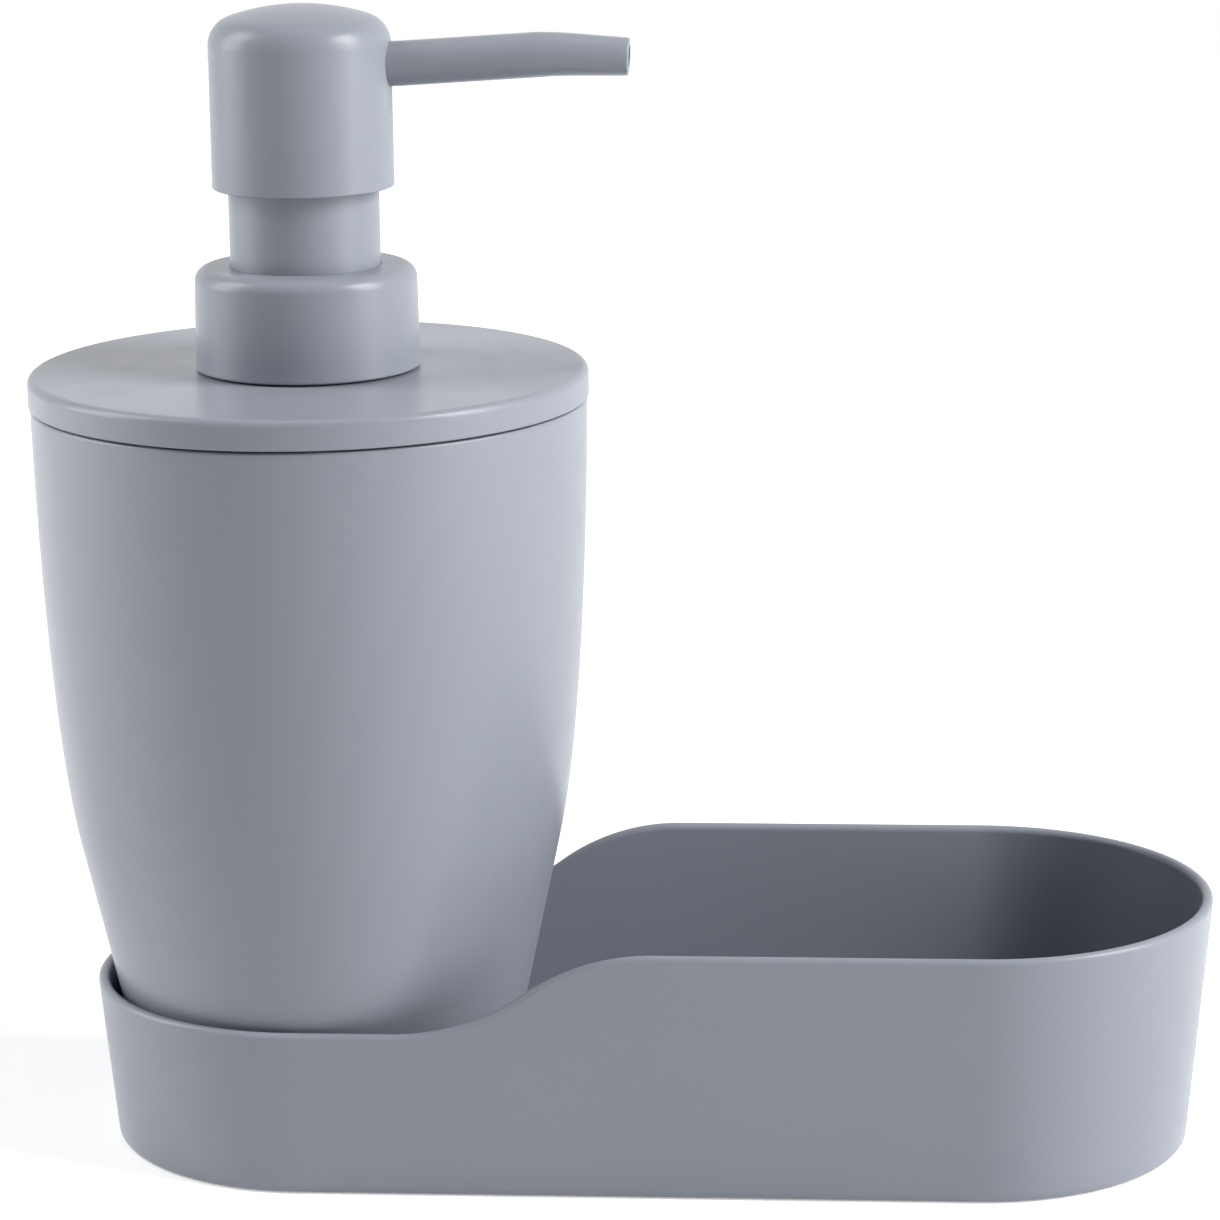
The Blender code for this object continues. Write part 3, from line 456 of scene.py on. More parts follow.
def thread(wall_radius, rise, turns, base_height):
    """A right-handed rib that stands a rise off a round wall and sinks into it at both ends."""
    root = wall_radius - math.copysign(THREAD_BURIED, rise)
    crest = wall_radius + rise
    section = [
        (root, -THREAD_ROOT / 2),
        (root, THREAD_ROOT / 2),
        (crest, THREAD_CREST / 2),
        (crest, -THREAD_CREST / 2),
    ]
    bm = bmesh.new()
    face = bm.faces.new([bm.verts.new((radius, 0.0, base_height + height)) for radius, height in section])
    turn = Matrix.Rotation(math.tau / THREAD_STEPS, 3, "Z")
    climb = Vector((0, 0, THREAD_PITCH / THREAD_STEPS))
    rings = [face.verts[:]]
    while len(rings) <= turns * THREAD_STEPS:
        face = extruded(bm, face, lambda corner: turn @ corner + climb)
        rings.append(face.verts[:])
    for ring, other_end in zip(rings[:THREAD_RUNOUT_STEPS], reversed(rings[-THREAD_RUNOUT_STEPS:])):
        short = 1 - rings.index(ring) / THREAD_RUNOUT_STEPS
        for corner in ring + other_end:
            if abs(corner.co.xy.length - crest) < THREAD_BURIED / 2:
                corner.co.xy *= (crest - THREAD_SINK * rise * short**2) / crest
    return bm


NECK_THREAD_BASE = LID_BASE + LID_HEIGHT + THREAD_START
bm = combined(bm, "UNION", thread(NECK_RADIUS, THREAD_HEIGHT, NECK_THREAD_TURNS, NECK_THREAD_BASE))
lid = finished("lid_top", bm, shell_plastic)
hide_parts("bottle_lid")
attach(lid, "lid")


# Pump housing
# The barrel that hangs in the neck by its flange: one long moulding in natural polypropylene, with a
# cage and conical seat for the ball at its foot and a socket for the dip tube below.
housing_low, housing_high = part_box("pump_housing")
FLANGE_RADIUS = 13.4 * MM
FLANGE_THICKNESS = 1.4 * MM
CUP_RADIUS = 10.2 * MM
CUP_BORE = 8.75 * MM
CUP_DEPTH = 7.6 * MM
CUP_TAPER = 2.0 * MM
BARREL_RADIUS = 7.9 * MM
BARREL_BORE = 6.6 * MM
BARREL_DEPTH = 48.0 * MM
CAGE_RADIUS = 4.7 * MM
CAGE_TAPER = 3.5 * MM
CAGE_BORE = 3.1 * MM
CAGE_LIP = 1.5 * MM
CAGE_LIP_BORE = 2.1 * MM
CAGE_DEPTH = 56.5 * MM
INTAKE_BORE = 1.5 * MM
INTAKE_LENGTH = 1.1 * MM
VENT_RADIUS = 0.6 * MM
VENT_DEPTH = 12.0 * MM
TUBE_RADIUS = 3.05 * MM
TUBE_SOCKET = TUBE_RADIUS + 0.3 * MM
HOUSING_EDGE = 0.2 * MM
HOUSING_SHOULDER_EDGE = 0.5 * MM
HOUSING_BORE_EDGE = 0.4 * MM
PUMP_STEPS = 96
VENT_STEPS = 32
NATURAL_COLOUR = "E4E6E6"
NATURAL_SHADE = "DDE0E1"
NATURAL_ROUGHNESS = (0.30, 0.38)
NATURAL_CLOUD = 6.0 * MM
NATURAL_DEPTH = 0.8 * MM
NATURAL_GLOW = 0.25
HOUSING_BASE = housing_high.z - FLANGE_THICKNESS
SOCKET_DEPTH = HOUSING_BASE - housing_low.z


def natural_polymer(name, colour, shade, roughness, ior, glow):
    """Unpigmented moulded polymer, milky because light scatters a little way into it.

    The clouding is faint, at the size of the wall's cooling patterns, and the surface is as smooth as
    polished steel leaves it.
    """
    made = bpy.data.materials.new(name)
    made.use_nodes = True
    shader = made.node_tree.nodes["Principled BSDF"]
    shader.inputs["IOR"].default_value = ior
    shader.inputs["Subsurface Weight"].default_value = glow
    shader.inputs["Subsurface Radius"].default_value = (1.0, 1.0, 1.0)
    shader.inputs["Subsurface Scale"].default_value = NATURAL_DEPTH
    place = add(made, "ShaderNodeTexCoord", {}).outputs["Object"]
    cloud = add(made, "ShaderNodeTexNoise", {"Vector": place, "Scale": 1 / NATURAL_CLOUD, "Detail": 3})
    vary(made, cloud.outputs["Fac"], colour, shade, cloud.outputs["Fac"], roughness)
    return made


natural_plastic = natural_polymer(
    "natural_polypropylene",
    NATURAL_COLOUR,
    NATURAL_SHADE,
    NATURAL_ROUGHNESS,
    POLYPROPYLENE_IOR,
    NATURAL_GLOW,
)
bm = turned(
    [
        (CUP_BORE, FLANGE_THICKNESS, HOUSING_EDGE),
        (FLANGE_RADIUS, FLANGE_THICKNESS, HOUSING_EDGE),
        (FLANGE_RADIUS, 0, HOUSING_EDGE),
        (CUP_RADIUS, 0),
        (CUP_RADIUS, -CUP_DEPTH, HOUSING_SHOULDER_EDGE),
        (BARREL_RADIUS, -CUP_DEPTH - CUP_TAPER, HOUSING_SHOULDER_EDGE),
        (BARREL_RADIUS, -BARREL_DEPTH, HOUSING_SHOULDER_EDGE),
        (CAGE_RADIUS, -BARREL_DEPTH - CAGE_TAPER, HOUSING_SHOULDER_EDGE),
        (CAGE_RADIUS, -SOCKET_DEPTH, HOUSING_EDGE),
        (TUBE_SOCKET, -SOCKET_DEPTH, HOUSING_EDGE),
        (TUBE_SOCKET, -CAGE_DEPTH - INTAKE_LENGTH),
        (INTAKE_BORE, -CAGE_DEPTH - INTAKE_LENGTH),
        (INTAKE_BORE, -CAGE_DEPTH),
        (CAGE_BORE, -CAGE_DEPTH + CAGE_BORE - INTAKE_BORE),
        (CAGE_BORE, -BARREL_DEPTH - CAGE_LIP),
        (CAGE_LIP_BORE, -BARREL_DEPTH - CAGE_LIP),
        (CAGE_LIP_BORE, -BARREL_DEPTH),
        (BARREL_BORE, -BARREL_DEPTH, HOUSING_BORE_EDGE),
        (BARREL_BORE, -CUP_DEPTH - CUP_TAPER, HOUSING_BORE_EDGE),
        (CUP_BORE, -CUP_DEPTH, HOUSING_BORE_EDGE),
    ],
    HOUSING_BASE,
    PUMP_STEPS,
    fillet_steps=4,
)
vent_place = Matrix.Translation((0, -BARREL_RADIUS, HOUSING_BASE - VENT_DEPTH))
vent = bmesh.new()
bmesh.ops.create_cone(
    vent,
    cap_ends=True,
    segments=VENT_STEPS,
    radius1=VENT_RADIUS,
    radius2=VENT_RADIUS,
    depth=BARREL_RADIUS,
    matrix=vent_place @ Matrix.Rotation(math.pi / 2, 4, "X"),
)
housing = finished("pump_barrel", combined(bm, "DIFFERENCE", vent), natural_plastic)
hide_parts("pump_housing")
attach(housing, "pump")


# Dip tube
# Extruded polyethylene tube, pushed into the socket and cut slanting at its foot.
tube_low, tube_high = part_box("dip_tube")
TUBE_BORE = 2.15 * MM
TUBE_CUT = math.radians(45)
TUBE_EDGE = 0.1 * MM
ROD_STEPS = 64
bm = turned(
    [
        (TUBE_BORE, tube_low.z),
        (TUBE_RADIUS, tube_low.z),
        (TUBE_RADIUS, tube_high.z, TUBE_EDGE),
        (TUBE_BORE, tube_high.z),
    ],
    steps=ROD_STEPS,
    fillet_steps=3,
)
for corner in bm.verts:
    if corner.co.z < tube_low.z + TUBE_EDGE:
        corner.co.z = tube_low.z + (TUBE_RADIUS - corner.co.x) * math.tan(TUBE_CUT)
dip_tube = finished("dip_tube_cut", bm, natural_plastic)
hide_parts("dip_tube")
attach(dip_tube, "pump")


# Intake ball
# A stainless steel ball that drops onto the conical seat and closes the intake on the down stroke.
ball_low, ball_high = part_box("intake_ball")
STEEL_COLOUR = "BDBEC0"
STEEL_SHADE = "B3B4B7"
STEEL_LINE = 0.06 * MM
STEEL_UNEVENNESS = 0.06
GROUND_ROUGHNESS = 0.18


def stainless_steel(name, roughness):
    """Drawn or ground stainless steel, a metal whose fine marks from the die or the wheel dull it."""
    made = bpy.data.materials.new(name)
    made.use_nodes = True
    shader = made.node_tree.nodes["Principled BSDF"]
    shader.inputs["Metallic"].default_value = 1.0
    place = add(made, "ShaderNodeTexCoord", {}).outputs["Object"]
    marks = add(made, "ShaderNodeTexNoise", {"Vector": place, "Scale": 1 / STEEL_LINE}).outputs["Fac"]
    rough = (roughness - STEEL_UNEVENNESS, roughness + STEEL_UNEVENNESS)
    vary(made, marks, STEEL_COLOUR, STEEL_SHADE, marks, rough)
    return made


bm = bmesh.new()
bmesh.ops.create_icosphere(
    bm,
    subdivisions=4,
    radius=(ball_high.z - ball_low.z) / 2,
    matrix=Matrix.Translation((0, 0, (ball_high.z + ball_low.z) / 2)),
)
ball = finished("check_ball", bm, stainless_steel("ground_steel", GROUND_ROUGHNESS))
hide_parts("intake_ball")
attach(ball, "ball")


# Return spring
# Nine turns of 0.9 mm drawn stainless wire between the barrel's floor and the piston seat, with its
# first and last turns closed up. It is built at one length, though the real spring shortens as the head is
# pressed.
spring_low, spring_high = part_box("return_spring")
SPRING_WIRE = 0.9 * MM
WIRE_ROUGHNESS = 0.28
SPRING_RADIUS = 4.3 * MM
SPRING_TURNS = 9
SPRING_END_PITCH = 1.5 * MM
SPRING_STEPS = 36
SPRING_MERGED = 0.001 * MM

spring_start = spring_low.z + SPRING_WIRE / 2
spring_end = spring_high.z - SPRING_WIRE / 2
open_pitch = (spring_end - spring_start - 2 * SPRING_END_PITCH) / (SPRING_TURNS - 2)
wire = bpy.data.curves.new("spring_wire", "CURVE")
wire.dimensions = "3D"
wire.bevel_depth = SPRING_WIRE / 2
wire.bevel_resolution = 4
wire.use_fill_caps = True
spline = wire.splines.new("POLY")
spline.points.add(SPRING_TURNS * SPRING_STEPS)
for step, point in enumerate(spline.points):
    turns = step / SPRING_STEPS
    lower = min(turns, 1.0)
    upper = max(turns - SPRING_TURNS + 1, 0.0)
    height = spring_start + SPRING_END_PITCH * (lower + upper) + open_pitch * (turns - lower - upper)
    angle = math.tau * turns
    point.co = (SPRING_RADIUS * math.cos(angle), SPRING_RADIUS * math.sin(angle), height, 1.0)
wire_object = bpy.data.objects.new("spring_wire", wire)
spring_mesh = bpy.data.meshes.new_from_object(wire_object)
bpy.data.objects.remove(wire_object)
bm = bmesh.new()
bm.from_mesh(spring_mesh)
bmesh.ops.remove_doubles(bm, verts=bm.verts[:], dist=SPRING_MERGED)
spring = finished("coil_spring", bm, stainless_steel("drawn_wire", WIRE_ROUGHNESS))
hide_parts("return_spring")
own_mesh(spring)
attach(spring, "pump")


# Neck gasket
# A ring punched from polyethylene foam sheet, pinched between the neck and the pump's flange.
gasket_low, gasket_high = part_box("neck_gasket")
GASKET_BORE = 10.9 * MM
GASKET_EDGE = 0.15 * MM
FOAM_CELL = 0.35 * MM
FOAM_RELIEF = 0.05 * MM
# The darker tone is painted shade in the open bubbles' hollows, and the lighter one is the cell walls.
FOAM_HOLLOW_SHADE = "E2E4E4"
FOAM_WALL = "EFF0F0"
FOAM_ROUGHNESS = (0.6, 0.8)
POLYETHYLENE_IOR = 1.51


def foam_sheet(name):
    """Closed-cell PE foam: matt, with the small bubbles that the knife leaves open. Their hollows carry
    painted shade.
    """
    made = bpy.data.materials.new(name)
    made.use_nodes = True
    shader = made.node_tree.nodes["Principled BSDF"]
    shader.inputs["IOR"].default_value = POLYETHYLENE_IOR
    place = add(made, "ShaderNodeTexCoord", {}).outputs["Object"]
    cells = add(made, "ShaderNodeTexVoronoi", {"Vector": place, "Scale": 1 / FOAM_CELL}).outputs["Distance"]
    # Painted shade: the colour darkens towards each open bubble's centre, where the bump sinks it.
    vary(made, cells, FOAM_HOLLOW_SHADE, FOAM_WALL, cells, FOAM_ROUGHNESS)
    bump = add(made, "ShaderNodeBump", {"Height": cells, "Strength": 0.6, "Distance": FOAM_RELIEF})
    made.node_tree.links.new(bump.outputs["Normal"], shader.inputs["Normal"])
    return made


bm = turned(
    [
        (GASKET_BORE, gasket_low.z, GASKET_EDGE),
        (gasket_high.x, gasket_low.z, GASKET_EDGE),
        (gasket_high.x, gasket_high.z, GASKET_EDGE),
        (GASKET_BORE, gasket_high.z, GASKET_EDGE),
    ],
    steps=PUMP_STEPS,
    fillet_steps=3,
)
gasket = finished("foam_gasket", bm, foam_sheet("polyethylene_foam"))
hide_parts("neck_gasket")
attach(gasket, "pump")


# Guide sleeve
# The narrow cylinder between collar and head, in the set's own colour. Its flange is clamped on the
# housing's, its well takes the head's core and its bore guides the stem.
sleeve_low, sleeve_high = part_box("guide_sleeve")
SLEEVE_RADIUS = 11.53 * MM
SLEEVE_WALL = 1.3 * MM
SLEEVE_FLANGE = 1.3 * MM
SLEEVE_EDGE = 0.5 * MM
SLEEVE_FLANGE_EDGE = 0.2 * MM
SLEEVE_INNER_EDGE = 0.3 * MM
WELL_FILLET = 0.5 * MM
SLEEVE_PLUG_DEPTH = 7.2 * MM
SLEEVE_PLUG_RADIUS = CUP_BORE - 0.3 * MM
SLEEVE_PLUG_BORE = SLEEVE_PLUG_RADIUS - 1.5 * MM
STEM_RADIUS = 3.9 * MM
GUIDE_BORE = STEM_RADIUS + 0.15 * MM
GUIDE_RADIUS = GUIDE_BORE + 1.35 * MM
GUIDE_GROOVE_TOP = 6.8 * MM
WELL_FLOOR = 9.0 * MM
SLEEVE_STEPS = 144
SLEEVE_BASE = sleeve_low.z + SLEEVE_PLUG_DEPTH
SLEEVE_HEIGHT = sleeve_high.z - SLEEVE_BASE

bm = turned(
    [
        (SLEEVE_PLUG_RADIUS, -SLEEVE_PLUG_DEPTH, SLEEVE_INNER_EDGE),
        (SLEEVE_PLUG_RADIUS, 0),
        (FLANGE_RADIUS, 0, SLEEVE_FLANGE_EDGE),
        (FLANGE_RADIUS, SLEEVE_FLANGE, SLEEVE_FLANGE_EDGE),
        (SLEEVE_RADIUS, SLEEVE_FLANGE),
        (SLEEVE_RADIUS, SLEEVE_HEIGHT, SLEEVE_EDGE),
        (SLEEVE_RADIUS - SLEEVE_WALL, SLEEVE_HEIGHT, SLEEVE_INNER_EDGE),
        (SLEEVE_RADIUS - SLEEVE_WALL, WELL_FLOOR, WELL_FILLET),
        (GUIDE_BORE, WELL_FLOOR, SLEEVE_INNER_EDGE),
        (GUIDE_BORE, -SLEEVE_PLUG_DEPTH, SLEEVE_FLANGE_EDGE),
        (GUIDE_RADIUS, -SLEEVE_PLUG_DEPTH, SLEEVE_FLANGE_EDGE),
        (GUIDE_RADIUS, GUIDE_GROOVE_TOP, SLEEVE_INNER_EDGE),
        (SLEEVE_PLUG_BORE, GUIDE_GROOVE_TOP, SLEEVE_INNER_EDGE),
        (SLEEVE_PLUG_BORE, -SLEEVE_PLUG_DEPTH, SLEEVE_INNER_EDGE),
    ],
    SLEEVE_BASE,
    SLEEVE_STEPS,
    fillet_steps=5,
)
sleeve = finished("sleeve_guide", bm, shell_plastic)
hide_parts("guide_sleeve")
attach(sleeve, "pump")


# Screw collar
# The smooth cap that screws down over the neck and clamps both flanges. Its shoulder is rounded, and
# its thread runs inside between the turns of the neck's.
collar_low, collar_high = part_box("screw_collar")
COLLAR_BORE = 14.5 * MM
COLLAR_TOP = 1.6 * MM
COLLAR_SHOULDER = 2.2 * MM
COLLAR_TAPER = 0.25 * MM
COLLAR_FOOT_EDGE = 0.35 * MM
COLLAR_BORE_EDGE = 0.3 * MM
COLLAR_HOLE_EDGE = 0.1 * MM
COLLAR_HOLE_FOOT_EDGE = 0.2 * MM
COLLAR_FILLET = 0.5 * MM
COLLAR_HOLE = SLEEVE_RADIUS + 0.05 * MM
COLLAR_THREAD_TURNS = 1.2
COLLAR_RADIUS = collar_high.x
COLLAR_HEIGHT = collar_high.z - collar_low.z

bm = turned(
    [
        (COLLAR_BORE, 0, COLLAR_BORE_EDGE),
        (COLLAR_RADIUS, 0, COLLAR_FOOT_EDGE),
        (COLLAR_RADIUS - COLLAR_TAPER, COLLAR_HEIGHT, COLLAR_SHOULDER),
        (COLLAR_HOLE, COLLAR_HEIGHT, COLLAR_HOLE_EDGE),
        (COLLAR_HOLE, COLLAR_HEIGHT - COLLAR_TOP, COLLAR_HOLE_FOOT_EDGE),
        (COLLAR_BORE, COLLAR_HEIGHT - COLLAR_TOP, COLLAR_FILLET),
    ],
    collar_low.z,
    SLEEVE_STEPS,
    fillet_steps=8,
)
rib = thread(COLLAR_BORE, -THREAD_HEIGHT, COLLAR_THREAD_TURNS, NECK_THREAD_BASE + THREAD_PITCH / 2)
collar = finished("collar_cap", combined(bm, "UNION", rib), shell_plastic)
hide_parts("screw_collar")
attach(collar, "collar")


# Piston seat
# The plug on top of the spring: its flange closes the seal at rest, and its square post stands in the
# stem's bore and leaves room for the soap beside it.
seat_low, seat_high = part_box("piston_seat")
SEAT_RADIUS = 5.5 * MM
SEAT_THICKNESS = 2.2 * MM
SEAT_SPIGOT_RADIUS = 3.2 * MM
SEAT_SPIGOT_DEPTH = 4.0 * MM
SEAT_POST = 3.1 * MM
SEAT_POST_EDGE = 0.25 * MM
SEAT_EDGE = 0.2 * MM
SEAT_SPIGOT_EDGE = 0.4 * MM
SEAT_TOP = seat_low.z + SEAT_THICKNESS + SEAT_SPIGOT_DEPTH

bm = turned(
    [
        (0, -SEAT_THICKNESS - SEAT_SPIGOT_DEPTH),
        (SEAT_SPIGOT_RADIUS, -SEAT_THICKNESS - SEAT_SPIGOT_DEPTH, SEAT_SPIGOT_EDGE),
        (SEAT_SPIGOT_RADIUS, -SEAT_THICKNESS),
        (SEAT_RADIUS, -SEAT_THICKNESS, SEAT_EDGE),
        (SEAT_RADIUS, 0, SEAT_EDGE),
        (0, 0),
    ],
    SEAT_TOP,
    ROD_STEPS,
    fillet_steps=4,
)
post_height = seat_high.z - SEAT_TOP + SEAT_THICKNESS / 2
post = bmesh.new()
bmesh.ops.create_cube(post, size=1.0)
bmesh.ops.scale(post, verts=post.verts[:], vec=(SEAT_POST, SEAT_POST, post_height))
bmesh.ops.translate(post, verts=post.verts[:], vec=(0, 0, seat_high.z - post_height / 2))
bmesh.ops.bevel(
    post, geom=post.edges[:], offset=SEAT_POST_EDGE, segments=3, profile=0.5, affect="EDGES", material=-1
)
seat = finished("seat_plug", combined(bm, "UNION", post), natural_plastic)
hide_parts("piston_seat")
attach(seat, "plunger")


# Piston seal
# A waisted sleeve of soft polyethylene with a wiping lip at each end. It floats on the stem's neck and
# opens the stem's foot as the head goes down.
seal_low, seal_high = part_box("piston_seal")
SEAL_WAIST = 5.5 * MM
SEAL_LIP = 1.2 * MM
SEAL_EDGE = 0.15 * MM
SEAL_BEND = 0.3 * MM
STEM_NECK = 3.3 * MM
SEAL_BORE = STEM_NECK + 0.15 * MM
SOFT_COLOUR = "D5D8DA"
SOFT_SHADE = "CFD3D6"
SOFT_ROUGHNESS = (0.48, 0.58)
SOFT_GLOW = 0.3
SEAL_HEIGHT = seal_high.z - seal_low.z
SEAL_RADIUS = seal_high.x

soft_polyethylene = natural_polymer(
    "soft_polyethylene", SOFT_COLOUR, SOFT_SHADE, SOFT_ROUGHNESS, POLYETHYLENE_IOR, SOFT_GLOW
)
bm = turned(
    [
        (SEAL_BORE, 0, SEAL_EDGE),
        (SEAL_RADIUS, 0, SEAL_EDGE),
        (SEAL_RADIUS, SEAL_LIP, SEAL_BEND),
        (SEAL_WAIST, 2 * SEAL_LIP, SEAL_BEND),
        (SEAL_WAIST, SEAL_HEIGHT - 2 * SEAL_LIP, SEAL_BEND),
        (SEAL_RADIUS, SEAL_HEIGHT - SEAL_LIP, SEAL_BEND),
        (SEAL_RADIUS, SEAL_HEIGHT, SEAL_EDGE),
        (SEAL_BORE, SEAL_HEIGHT, SEAL_EDGE),
    ],
    seal_low.z,
    PUMP_STEPS,
    fillet_steps=3,
)
seal = finished("seal_piston", bm, soft_polyethylene)
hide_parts("piston_seal")
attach(seal, "seal")


# Pump stem
# The hollow rod that carries soap up from the seal into the head, necked where the seal floats.
stem_low, stem_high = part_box("pump_stem")
STEM_BORE = 2.4 * MM
STEM_INNER_EDGE = 0.15 * MM
STEM_END_EDGE = 0.3 * MM
STEM_SHOULDER = seal_high.z + 1.3 * MM

bm = turned(
    [
        (STEM_BORE, stem_low.z, STEM_INNER_EDGE),
        (STEM_NECK, stem_low.z, STEM_END_EDGE),
        (STEM_NECK, STEM_SHOULDER),
        (STEM_RADIUS, STEM_SHOULDER, STEM_INNER_EDGE),
        (STEM_RADIUS, stem_high.z, STEM_END_EDGE),
        (STEM_BORE, stem_high.z, STEM_INNER_EDGE),
    ],
    steps=ROD_STEPS,
    fillet_steps=4,
)
stem = finished("stem_rod", bm, natural_plastic)
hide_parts("pump_stem")
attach(stem, "head")


# Head core
# The white socket that is clipped up under the button. The stem is pushed into it from below and the
# spout from the side, and it turns the soap from one bore into the other.
core_low, core_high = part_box("head_core")
shell_low, shell_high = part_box("head_shell")
CORE_RADIUS = 5.6 * MM
BRANCH_RADIUS = 4.75 * MM
BRANCH_LENGTH = core_high.x
SPOUT_LEVEL = shell_low.z + 18.55 * MM
SPOUT_RADIUS = 3.41 * MM
SPOUT_BORE = 2.31 * MM
RISER_BORE = 2.2 * MM
SOCKET_GAP = 0.3 * MM
CORE_EDGE = 0.4 * MM
BRANCH_EDGE = 0.3 * MM
SPOUT_ROOT_X = 4.9 * MM
CORE_STEPS = 80
BRANCH_STEPS = 72


def side_turned(corners, steps):
    """A bmesh turned like the others, then laid along +X at the spout's level."""
    bm = turned(corners, steps=steps, fillet_steps=4)
    lay = Matrix.Translation((0, 0, SPOUT_LEVEL)) @ Matrix.Rotation(math.pi / 2, 4, "Y")
    bmesh.ops.transform(bm, matrix=lay, verts=bm.verts[:])
    return bm


bm = turned(
    [
        (0, core_low.z),
        (CORE_RADIUS, core_low.z, CORE_EDGE),
        (CORE_RADIUS, core_high.z, CORE_EDGE),
        (0, core_high.z),
    ],
    steps=CORE_STEPS,
    fillet_steps=4,
)
branch = side_turned(
    [(0, 0), (BRANCH_RADIUS, 0), (BRANCH_RADIUS, BRANCH_LENGTH, BRANCH_EDGE), (0, BRANCH_LENGTH)],
    BRANCH_STEPS,
)
riser = turned(
    [
        (0, core_low.z - MM),
        (STEM_RADIUS + SOCKET_GAP, core_low.z - MM),
        (STEM_RADIUS + SOCKET_GAP, stem_high.z + SOCKET_GAP),
        (RISER_BORE, stem_high.z + SOCKET_GAP),
        (RISER_BORE, SPOUT_LEVEL),
        (0, SPOUT_LEVEL),
    ],
    steps=ROD_STEPS,
)
outlet = side_turned(
    [
        (0, -RISER_BORE),
        (SPOUT_BORE, -RISER_BORE),
        (SPOUT_BORE, SPOUT_ROOT_X - SOCKET_GAP),
        (SPOUT_RADIUS + SOCKET_GAP, SPOUT_ROOT_X - SOCKET_GAP),
        (SPOUT_RADIUS + SOCKET_GAP, 2 * BRANCH_LENGTH),
        (0, 2 * BRANCH_LENGTH),
    ],
    ROD_STEPS,
)
bm = combined(combined(combined(bm, "UNION", branch), "DIFFERENCE", riser), "DIFFERENCE", outlet)
core = finished("core_socket", bm, natural_plastic)
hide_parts("head_core")
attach(core, "head")


# Head shell
# The push button: a thin domed shell with straight skirts that slide down over the sleeve. A ring
# under its roof clips round the core, and the spout passes through a close hole in its side.
SKIRT_RADIUS = shell_high.x
CROWN_RADIUS = 13.85 * MM
CROWN_CORNER = 4.5 * MM
CROWN_CURVE = 34.0 * MM
SHELL_WALL = 1.3 * MM
SHELL_ROOF = 2.0 * MM
SKIRT_EDGE = 0.2 * MM
SHELL_INNER_EDGE = 0.3 * MM
RING_RADIUS = 7.3 * MM
RING_BORE = 6.0 * MM
RING_BASE = 22.8 * MM
SPOUT_HOLE = SPOUT_RADIUS + 0.06 * MM
CORNER_STEPS = 20
CROWN_STEPS = 16
ROOF_STEPS = 8
SHELL_HEIGHT = shell_high.z - shell_low.z


def dome(radius, top, corner, curve, stop=0.0):
    """A domed cap's outline: its corner arc, then its crown arc in as far as the radius stop."""
    inset = radius - corner
    crown_centre = top - curve
    lift = math.sqrt((curve - corner) ** 2 - inset**2)
    joint = math.atan2(lift, inset)
    points = arc((inset, crown_centre + lift), corner, 0, joint, CORNER_STEPS)
    points += arc((0, crown_centre), curve, joint, math.acos(stop / curve), CROWN_STEPS)[1:]
    return points


roof = SHELL_HEIGHT - SHELL_ROOF
roof_curve = CROWN_CURVE - SHELL_ROOF
ceiling = arc((0, roof - roof_curve), roof_curve, math.acos(RING_BORE / roof_curve), math.pi / 2, ROOF_STEPS)
inner_corner = CROWN_CORNER - SHELL_WALL
bm = turned(
    [
        (SKIRT_RADIUS, 0, SKIRT_EDGE),
        *dome(CROWN_RADIUS, SHELL_HEIGHT, CROWN_CORNER, CROWN_CURVE),
        *reversed(ceiling),
        (RING_BORE, RING_BASE, SHELL_INNER_EDGE),
        (RING_RADIUS, RING_BASE, SHELL_INNER_EDGE),
        *reversed(dome(CROWN_RADIUS - SHELL_WALL, roof, inner_corner, roof_curve, RING_RADIUS)),
        (SKIRT_RADIUS - SHELL_WALL, 0, SHELL_INNER_EDGE),
    ],
    shell_low.z,
    SLEEVE_STEPS,
    fillet_steps=4,
)
passage = side_turned(
    [
        (0, 0),
        (BRANCH_RADIUS + SOCKET_GAP, 0),
        (BRANCH_RADIUS + SOCKET_GAP, BRANCH_LENGTH + SOCKET_GAP),
        (SPOUT_HOLE, BRANCH_LENGTH + SOCKET_GAP),
        (SPOUT_HOLE, 2 * BRANCH_LENGTH),
        (0, 2 * BRANCH_LENGTH),
    ],
    BRANCH_STEPS,
)
button = finished("button_shell", combined(bm, "DIFFERENCE", passage), shell_plastic)
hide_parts("head_shell")
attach(button, "head")


# Spout
# A round tube that leaves the head nearly level, rises to a soft bend and falls to its tip, where it
# tapers. Its bore runs from end to end and its mouth's edge is softened.
SPOUT_RISE_X = 14.5 * MM
SPOUT_BEND_X = 38.3 * MM
SPOUT_TIP_X = 50.0 * MM
SPOUT_BEND_RISE = 1.4 * MM
SPOUT_TIP_RISE = 0.9 * MM
SPOUT_LOWER_BEND = 30.0 * MM
SPOUT_UPPER_BEND = 60.0 * MM
SPOUT_TIP_RADIUS = 2.85 * MM
SPOUT_TAPER_START = 36.0 * MM
SPOUT_WALL = SPOUT_RADIUS - SPOUT_BORE
SPOUT_TIP_EDGE = 0.3 * MM
SPOUT_STATION = 1.0 * MM
SPOUT_BEND_STEPS = 12
SPOUT_TIP_STEPS = 6
SPOUT_SIDES = 72


def spout_radius(x):
    """The outer radius: even as far as the bend, then tapering to the tip."""
    along = max(x - SPOUT_TAPER_START, 0) / (SPOUT_TIP_X - SPOUT_TAPER_START)
    return SPOUT_RADIUS + (SPOUT_TIP_RADIUS - SPOUT_RADIUS) * along


